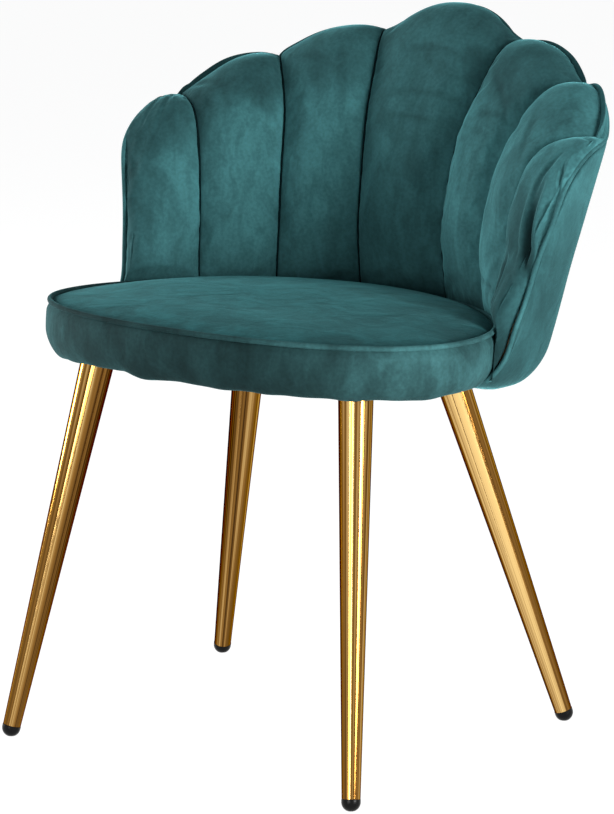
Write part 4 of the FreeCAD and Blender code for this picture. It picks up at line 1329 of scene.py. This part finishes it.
    def build(self) -> None:
        """Make and dress every piece of the back."""
        for petal in self.petals():
            obj = petal.build(self.form, self.seat, self.inflation)
            dress(obj, self.velvet, petal.node)
        cover = self.build_cover()
        dress(cover, self.velvet, "back_outer_cover")
        dress(self.build_shell(), self.plywood, "back_shell")
        piping = self.build_piping()
        # Painted light on the back's piping cord.
        set_painted_light(piping, 1.15)
        dress(piping, self.velvet, "back_piping")
        tuck = self.build_tuck()
        dress(tuck, self.velvet)
        for seam in self.build_seams():
            dress(seam, self.shade)


# The seat


@dataclass
class Seat:
    """Crowned top panel, piping, side band and the cloth underneath."""

    form: SeatForm
    shaded_top_velvet: bpy.types.Material
    shaded_band_velvet: bpy.types.Material
    foam: bpy.types.Material
    cloth: bpy.types.Material
    piping_radius: float = 0.003
    around: int = 300
    rings: int = 44
    rear_rise: float = 0.008
    hem_drop: float = 0.008
    hem_roll: float = 0.027
    hem_tuck: float = 0.021
    band_wall: float = 0.0045
    cloth_inset: float = 0.0170
    cloth_wall: float = 0.0008
    leg_hole: float = 0.026
    sags: tuple[Triple, ...] = (
        (0.612, 0.012, 0.0035), (0.640, 0.016, 0.0025), (0.712, 0.007, -0.0022), (0.730, 0.009, 0.0024),
        (0.80, 0.012, 0.002), (0.85, 0.010, -0.0015), (0.90, 0.012, 0.0015))
    leg_tops: tuple[Pair, ...] = (
        (0.170, -0.182), (-0.170, -0.182), (0.1304, 0.045), (-0.1304, 0.045))

    def _around(self, u: Array, inset: Array | float) -> Array:
        """Points of the outline at shares of its length, moved in along its normals.

        Args:
            u: share of the outline's length.
            inset: metres inwards.

        Returns:
            Places in plan, one row each.
        """
        ring = self.form.outline(self.around)
        index = np.round(u * self.around).astype(int) % self.around
        inward = self.form.outward(ring)[index] * np.broadcast_to(inset, u.shape)[:, None]
        return ring[index] - inward

    def _disc(self, rows: int, inset: float) -> tuple[bpy.types.Object, Array, Array]:
        """A sheet whose columns go once round the seat and whose rows shrink to its middle.

        Args:
            rows: faces from the rim to the middle.
            inset: how far its rim lies inside the outline.

        Returns:
            The object, its places in plan, and the share of the way out to the rim.
        """
        obj, u, s = grid_sheet(self.around, rows)
        share = 1.0 - s
        middle = np.array([0.0, self.form.widest])
        return obj, middle + (self._around(u, inset) - middle) * share[:, None], share

    def _crowned(self, flat: Array, share: Array) -> Array:
        """How far the stuffed seat rises above its edge.

        Args:
            flat: places in plan.
            share: share of the way out to the rim.

        Returns:
            Metres above the edge.
        """
        rise = self.form.crown * (1.0 - share ** 3.2)
        return rise + self.rear_rise * ease(-0.16, 0.07, flat[:, 1]) * (1.0 - share ** 16.0)

    def _lay(self, obj: bpy.types.Object, flat: Array, height: Array) -> Array:
        """Put a level sheet on the tipped seat, join its two ends, and give back its places.

        Args:
            obj: the sheet.
            flat: its places in plan.
            height: its heights above the hem.

        Returns:
            Its places once joined.
        """
        place_corners(obj, self.form.tipped(np.column_stack([flat, height])))
        weld(obj)
        return corners_of(obj)

    def build_top(self) -> bpy.types.Object:
        """The crowned top panel, from just inside the piping to the middle.

        Returns:
            The mesh object.
        """
        obj, flat, share = self._disc(self.rings, self.piping_radius * 2 - 0.0006)
        edge_roll = 0.0016 * np.exp(-((1.0 - share) / 0.02) ** 2)
        height = self.form.edge + 0.0004 + self._crowned(flat, share) - edge_roll
        # Painted shade: the top is darker towards the right and the rear.
        set_painted_light(obj, 0.96 - 0.36 * ease(-0.04, 0.24, flat[:, 0] + 0.55 * (flat[:, 1] + 0.11)))
        points = self._lay(obj, flat, height)
        close_behind(obj, points - np.array([0.0, 0.0, 0.004]))
        return finish_piece(obj, "seat_top_cover")

    def build_foam(self) -> bpy.types.Object:
        """The foam pad between the board and the top panel.

        Returns:
            The mesh object.
        """
        obj, flat, share = self._disc(self.rings, 0.0120)
        below = self._lay(obj, flat, self.form.edge - 0.0052 + self._crowned(flat, share))
        below[:, 2] = self.form.hem + 0.0175 - self.form.slope * (below[:, 1] - self.form.front)
        close_behind(obj, below)
        return finish_piece(obj, "seat_foam_pad", angle=50.0)

    def build_dust_cloth(self) -> tuple[bpy.types.Object, float]:
        """The thin cloth stapled under the board, sagging a little, cut out round the legs.

        Returns:
            The cloth and the area of its flat cut.
        """
        obj, flat, share = self._disc(24, self.cloth_inset)
        rumple = 0.0006 * np.sin(flat[:, 0] * 55.0) * np.sin(flat[:, 1] * 48.0 + 1.0)
        height = -0.0015 - 0.0035 * (1.0 - share ** 2.0) + rumple * (1.0 - share ** 6.0)
        points = self._lay(obj, flat, height)
        edge = self._around(np.arange(self.around) / self.around, self.cloth_inset)
        ahead = np.roll(edge, -1, axis=0)
        area = 0.5 * abs(float((edge[:, 0] * ahead[:, 1] - edge[:, 1] * ahead[:, 0]).sum()))
        gone = np.zeros(len(points), dtype=bool)
        for x, y in self.leg_tops:
            gone |= np.hypot(points[:, 0] - x, points[:, 1] - y) < self.leg_hole
        only(obj)
        bpy.ops.object.mode_set(mode="EDIT")
        bpy.ops.mesh.select_all(action="DESELECT")
        bpy.ops.object.mode_set(mode="OBJECT")
        obj.data.vertices.foreach_set("select", gone)
        bpy.ops.object.mode_set(mode="EDIT")
        bpy.ops.mesh.delete(type="VERT")
        bpy.ops.object.mode_set(mode="OBJECT")
        thicken(obj, self.cloth_wall, 0.0)
        return finish_piece(obj, "dust_cloth_sheet"), area

    def build_border(self) -> bpy.types.Object:
        """The bulged side band, drawn in under its lower edge.

        Returns:
            The mesh object.
        """
        obj, u, s = grid_sheet(self.around, 40)
        top = self.form.edge - self.piping_radius * 0.6
        height = top - (top + self.hem_drop) * s
        low = np.clip(1.0 - (height + self.hem_drop) / self.hem_roll, 0.0, 1.0)
        inset = self.hem_tuck * (1.0 - np.sqrt(np.maximum(1.0 - low ** 2, 0.0)))
        high = np.clip(height / top - 0.80, 0.0, 1.0) / 0.20
        inset = inset + 0.0045 * high ** 1.6
        bulge = 0.0012 * np.sin(np.pi * np.clip(height / top, 0.0, 1.0))
        wave = (np.sin(u * 2 * np.pi * 9 + 0.7) + 0.6 * np.sin(u * 2 * np.pi * 17 + 2.1)
                + 0.4 * np.sin(u * 2 * np.pi * 31 + 4.0))
        height = height + wave * 0.0008 * low
        for share, width, drop in self.sags:
            height = height - drop * np.exp(-((u - share) / width) ** 2) * low ** 1.5
        # Painted light and shade round the band: darkest across the front, most of all right of its middle,
        # and darker towards the hem.
        around = [0.0, 0.20, 0.50, 0.57, 0.64, 0.70, 0.76, 0.83, 0.88, 0.94, 1.0]
        lightness_scale = [1.00, 1.00, 0.90, 0.86, 0.68, 0.60, 0.44, 0.34, 0.66, 0.96, 1.00]
        set_painted_light(obj, np.interp(u, around, lightness_scale) * (1.0 - 0.15 * low))
        points = self._lay(obj, self._around(u, inset - bulge), height)
        inward = self.form.tipped(np.array([[0.0, self.form.widest, 0.02]]))[0] - points
        inward[:, 2] *= 0.3
        close_behind(obj, points + unit(inward) * self.band_wall)
        return finish_piece(obj, "seat_side_band", levels=1)

    def build_piping(self) -> bpy.types.Object:
        """The covered cord round the seat's top edge.

        Returns:
            The mesh object.
        """
        ring = self.form.drawn_in(self.form.outline(500), self.piping_radius)
        points = self.form.tipped(np.column_stack([ring, np.full(len(ring), self.form.edge)]))
        return tube("seat_piping_cord", points, self.piping_radius, closed=True)

    def build(self) -> None:
        """Make and dress the seat's pieces."""
        top, band, piping = self.build_top(), self.build_border(), self.build_piping()
        dress(top, self.shaded_top_velvet, "seat_top_panel")
        dress(band, self.shaded_band_velvet, "seat_border")
        # Painted shade on the left of the seat's piping and painted light on its right.
        set_painted_light(piping, 0.40 + 0.80 * ease(-0.02, 0.22, corners_of(piping)[:, 0]))
        dress(piping, self.shaded_band_velvet, "seat_piping")
        pad = self.build_foam()
        dress(pad, self.foam, "seat_foam")
        cloth, area = self.build_dust_cloth()
        dress(cloth, self.cloth, "dust_cover")


# Legs


@dataclass
class Leg:
    """One tapered plated tube with its foot cap."""

    place: str
    foot: Pair
    top: Triple
    gold: bpy.types.Material
    black: bpy.types.Material
    foot_radius: float = 0.010
    top_radius: float = 0.019
    wall: float = 0.0015
    cap_height: float = 0.012
    cap_radius: float = 0.0103
    cap_centre: float = 0.009
    collar: float = 0.0028
    sides: int = 96

    def build(self) -> None:
        """Make and dress the tube and its cap."""
        base = Vector((*self.foot, 0.0))
        top = Vector(self.top)
        axis = (top - base).normalized()
        start = base + axis * (self.cap_height / axis.z)
        length = (top - start).length
        turn = axis.to_track_quat("Z", "Y")
        obj, u, s = grid_sheet(self.sides, 24)
        bearing = 2.0 * np.pi * u
        radius = self.foot_radius + (self.top_radius - self.foot_radius) * s
        local = np.column_stack([radius * np.cos(bearing), radius * np.sin(bearing), s * length])
        place_corners(obj, np.array(start) + local @ np.array(turn.to_matrix()).T)
        obj.data.uv_layers[0].name = TUBE_MAP
        weld(obj)
        thicken(obj, self.wall, -1.0)
        finish_piece(obj, "leg_tube_" + self.place, angle=40.0)
        dress(obj, self.gold, "leg_" + self.place)
        self._cap(base, axis, turn)

    def _cap(self, base: Vector, axis: Vector, turn: Quaternion) -> None:
        """The black foot cap: a dome with a flat worn on the floor, and a collar.

        Args:
            base: the middle of the foot on the floor.
            axis: the leg's direction upwards.
            turn: the leg's rotation.
        """
        bpy.ops.object.select_all(action="DESELECT")
        bpy.ops.mesh.primitive_uv_sphere_add(segments=48, ring_count=32, radius=self.cap_radius)
        obj = bpy.context.active_object
        places = corners_of(obj)
        centre = base + axis * (self.cap_centre / axis.z)
        out = np.zeros_like(places)
        for i, (x, y, z) in enumerate(places):
            local = Vector((x, y, z))
            if z > 0:
                reach = math.hypot(x, y)
                if reach > 0.004:
                    local = Vector((x, y, 0.0)) * (self.cap_radius / reach)
                local.z = self.collar * min(z / 0.003, 1.0)
            spot = centre + turn @ local
            spot.z = max(spot.z, 0.0)
            out[i] = spot
        place_corners(obj, out)
        finish_piece(obj, "foot_cap_dome_" + self.place, angle=50.0)
        dress(obj, self.black, "foot_cap_" + self.place)


# Stage, light and camera


@dataclass
class Studio:
    """Pale floor, soft light, and the camera where the photograph was taken from."""

    eye: Triple = (2.5640, -3.6326, 1.3436)
    azimuth: float = 35.40
    elevation: float = 12.57
    focal_pixels: float = 4100.0
    frame_height: float = 814.0
    axis_offset: float = 3.5
    sensor: float = 36.0
    sky_strength: float = 0.20
    floor_glow: float = 1.21
    floor_share: float = 0.76
    target: Triple = (0.0, 0.0, 0.45)

    def build_camera(self) -> None:
        """The camera, fitted to the photograph's long side."""
        data = bpy.data.cameras.new("camera")
        data.sensor_fit = "AUTO"
        data.sensor_width = self.sensor
        data.lens = self.focal_pixels * self.sensor / self.frame_height
        data.shift_x = -self.axis_offset / self.frame_height
        data.clip_end = 50.0
        camera = bpy.data.objects.new("camera", data)
        bpy.context.scene.collection.objects.link(camera)
        a, e = math.radians(self.azimuth), math.radians(self.elevation)
        forward = Vector((-math.sin(a) * math.cos(e), math.cos(a) * math.cos(e), -math.sin(e)))
        right = Vector((math.cos(a), math.sin(a), 0.0))
        upward = right.cross(forward)
        axes = Matrix((right, upward, -forward)).transposed().to_4x4()
        camera.matrix_world = Matrix.Translation(self.eye) @ axes
        bpy.context.scene.camera = camera

    def build_world(self) -> None:
        """White for what the camera sees and metal reflects, and soft grey light on the rest."""
        world = bpy.data.worlds.new("studio")
        world.use_nodes = True
        graph = Graph(world.node_tree)
        lit = graph.add("Background", {"Color": (0.93, 0.97, 1.0, 1.0), "Strength": self.sky_strength})
        white = graph.add("Background", {"Color": (1.0, 1.0, 1.0, 1.0), "Strength": 1.0})
        mix = graph.add("MixShader", {"Fac": graph.seen(), 1: lit.outputs["Background"],
                                      2: white.outputs["Background"]})
        graph.add("OutputWorld", {"Surface": mix.outputs["Shader"]})
        bpy.context.scene.world = world

    def build_floor(self) -> None:
        """A wide pale floor that keeps the chair's shadow."""
        bpy.ops.object.select_all(action="DESELECT")
        bpy.ops.mesh.primitive_plane_add(size=40.0, location=(0.0, 0.0, -0.0002))
        floor = bpy.context.active_object
        floor.name = "floor"
        material = bpy.data.materials.new("pale_floor")
        material.use_nodes = True
        graph = Graph(material.node_tree)
        matt = graph.add("BsdfDiffuse", {"Color": (0.88, 0.88, 0.88, 1.0)})
        glow = graph.add("Emission", {"Strength": self.floor_glow})
        share = graph.math("MULTIPLY", graph.seen(), self.floor_share)
        mix = graph.add("MixShader", {"Fac": share, 1: matt.outputs["BSDF"], 2: glow.outputs["Emission"]})
        graph.add("OutputMaterial", {"Surface": mix.outputs["Shader"]})
        floor.data.materials.append(material)

    def build_lamp(self, name: str, place: Triple, size: Pair, power: float) -> None:
        """A white soft box that points at the chair.

        Args:
            name: its name.
            place: where it stands, in metres.
            size: its width and height, in metres.
            power: its power in watts.
        """
        data = bpy.data.lights.new(name, "AREA")
        data.shape = "RECTANGLE"
        data.size, data.size_y = size
        data.energy = power
        lamp = bpy.data.objects.new(name, data)
        bpy.context.scene.collection.objects.link(lamp)
        lamp.location = place
        aim = Vector(self.target) - Vector(place)
        lamp.rotation_mode = "QUATERNION"
        lamp.rotation_quaternion = aim.to_track_quat("-Z", "Y")

    def build(self) -> None:
        """Everything round the chair."""
        self.build_camera()
        self.build_world()
        self.build_floor()
        self.build_lamp("top_soft_box", (-0.3, 0.4, 2.6), (1.4, 1.2), 3.0)
        self.build_lamp("left_soft_box", (-2.65, -0.62, 0.90), (0.9, 1.2), 96.0)
        self.build_lamp("right_soft_box", (2.65, -0.50, 0.85), (0.9, 1.2), 108.0)
        self.build_lamp("front_soft_box", (0.6, -3.4, 0.8), (1.4, 1.0), 46.0)
        bpy.context.scene.view_settings.view_transform = "Standard"


def dress_nodes(nodes: dict[str, bpy.types.Object], finishes: dict[str, bpy.types.Material]) -> None:
    """Give the carried-over nodes their finishes.

    Args:
        nodes: the frame's nodes by name.
        finishes: finish by the start of a node's name.
    """
    for name, obj in nodes.items():
        for start, material in finishes.items():
            if name.startswith(start):
                obj.data.materials.clear()
                obj.data.materials.append(material)


def main() -> None:
    """Build the chair and its studio."""
    logging.basicConfig(level=logging.INFO, format="%(message)s")
    velvet = Velvet("velvet").make()
    # Shaded copies of the velvet, darker and with less sheen: painted shade on the seat's top and side band.
    shaded_top_velvet = Velvet("velvet_laid_flat", color=(0.0140, 0.0735, 0.0790), sheen_weight=0.12,
                          patch=0.34).make()
    shaded_band_velvet = Velvet("velvet_side_band", color=(0.0225, 0.0700, 0.0735), sheen_weight=0.12,
                         patch=0.28).make()
    # Near-black seam cords: painted shade in the seam grooves.
    shade = GrainyFinish("seam_shade", (0.002, 0.0085, 0.0095), 0.95, rate=900.0, specular=0.02).make()
    gold = GoldPlate().make()
    black = GrainyFinish("black_plastic", (0.002, 0.002, 0.0022), 0.28, rate=900.0, specular=0.12).make()
    steel = GrainyFinish("zinc_steel", (0.55, 0.56, 0.58), 0.35, metallic=1.0, rate=300.0).make()
    plywood = GrainyFinish("plywood", (0.50, 0.34, 0.19), 0.6, rate=220.0, stretch=(1.0, 0.12, 1.0)).make()
    cloth = GrainyFinish("dust_cloth", (0.010, 0.010, 0.011), 0.95, rate=1500.0, contrast=0.4).make()
    foam = GrainyFinish("foam", (0.82, 0.76, 0.58), 0.9, rate=900.0, depth=0.0006).make()
    seat_form = SeatForm()
    Back(BackForm(), seat_form, velvet, shade, plywood).build()
    Seat(seat_form, shaded_top_velvet, shaded_band_velvet, foam, cloth).build()
    corners = {"front_right": ((0.2305, -0.2762), (0.1700, -0.1816, 0.4301)),
               "front_left": ((-0.2305, -0.2762), (-0.1700, -0.1816, 0.4301)),
               "rear_right": ((0.2409, 0.1322), (0.1304, 0.0449, 0.4183)),
               "rear_left": ((-0.2409, 0.1322), (-0.1304, 0.0449, 0.4183))}
    for place, (foot, top) in corners.items():
        Leg(place, foot, top, gold, black).build()
    dress_nodes(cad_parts, {"leg_plate": steel, "leg_screws": steel, "bracket_screws": steel,
                                 "back_bracket": steel, "back_bolts": steel, "shell_inserts": steel,
                                 "seat_board": plywood})
    Studio().build()


if __name__ == "__main__":
    main()
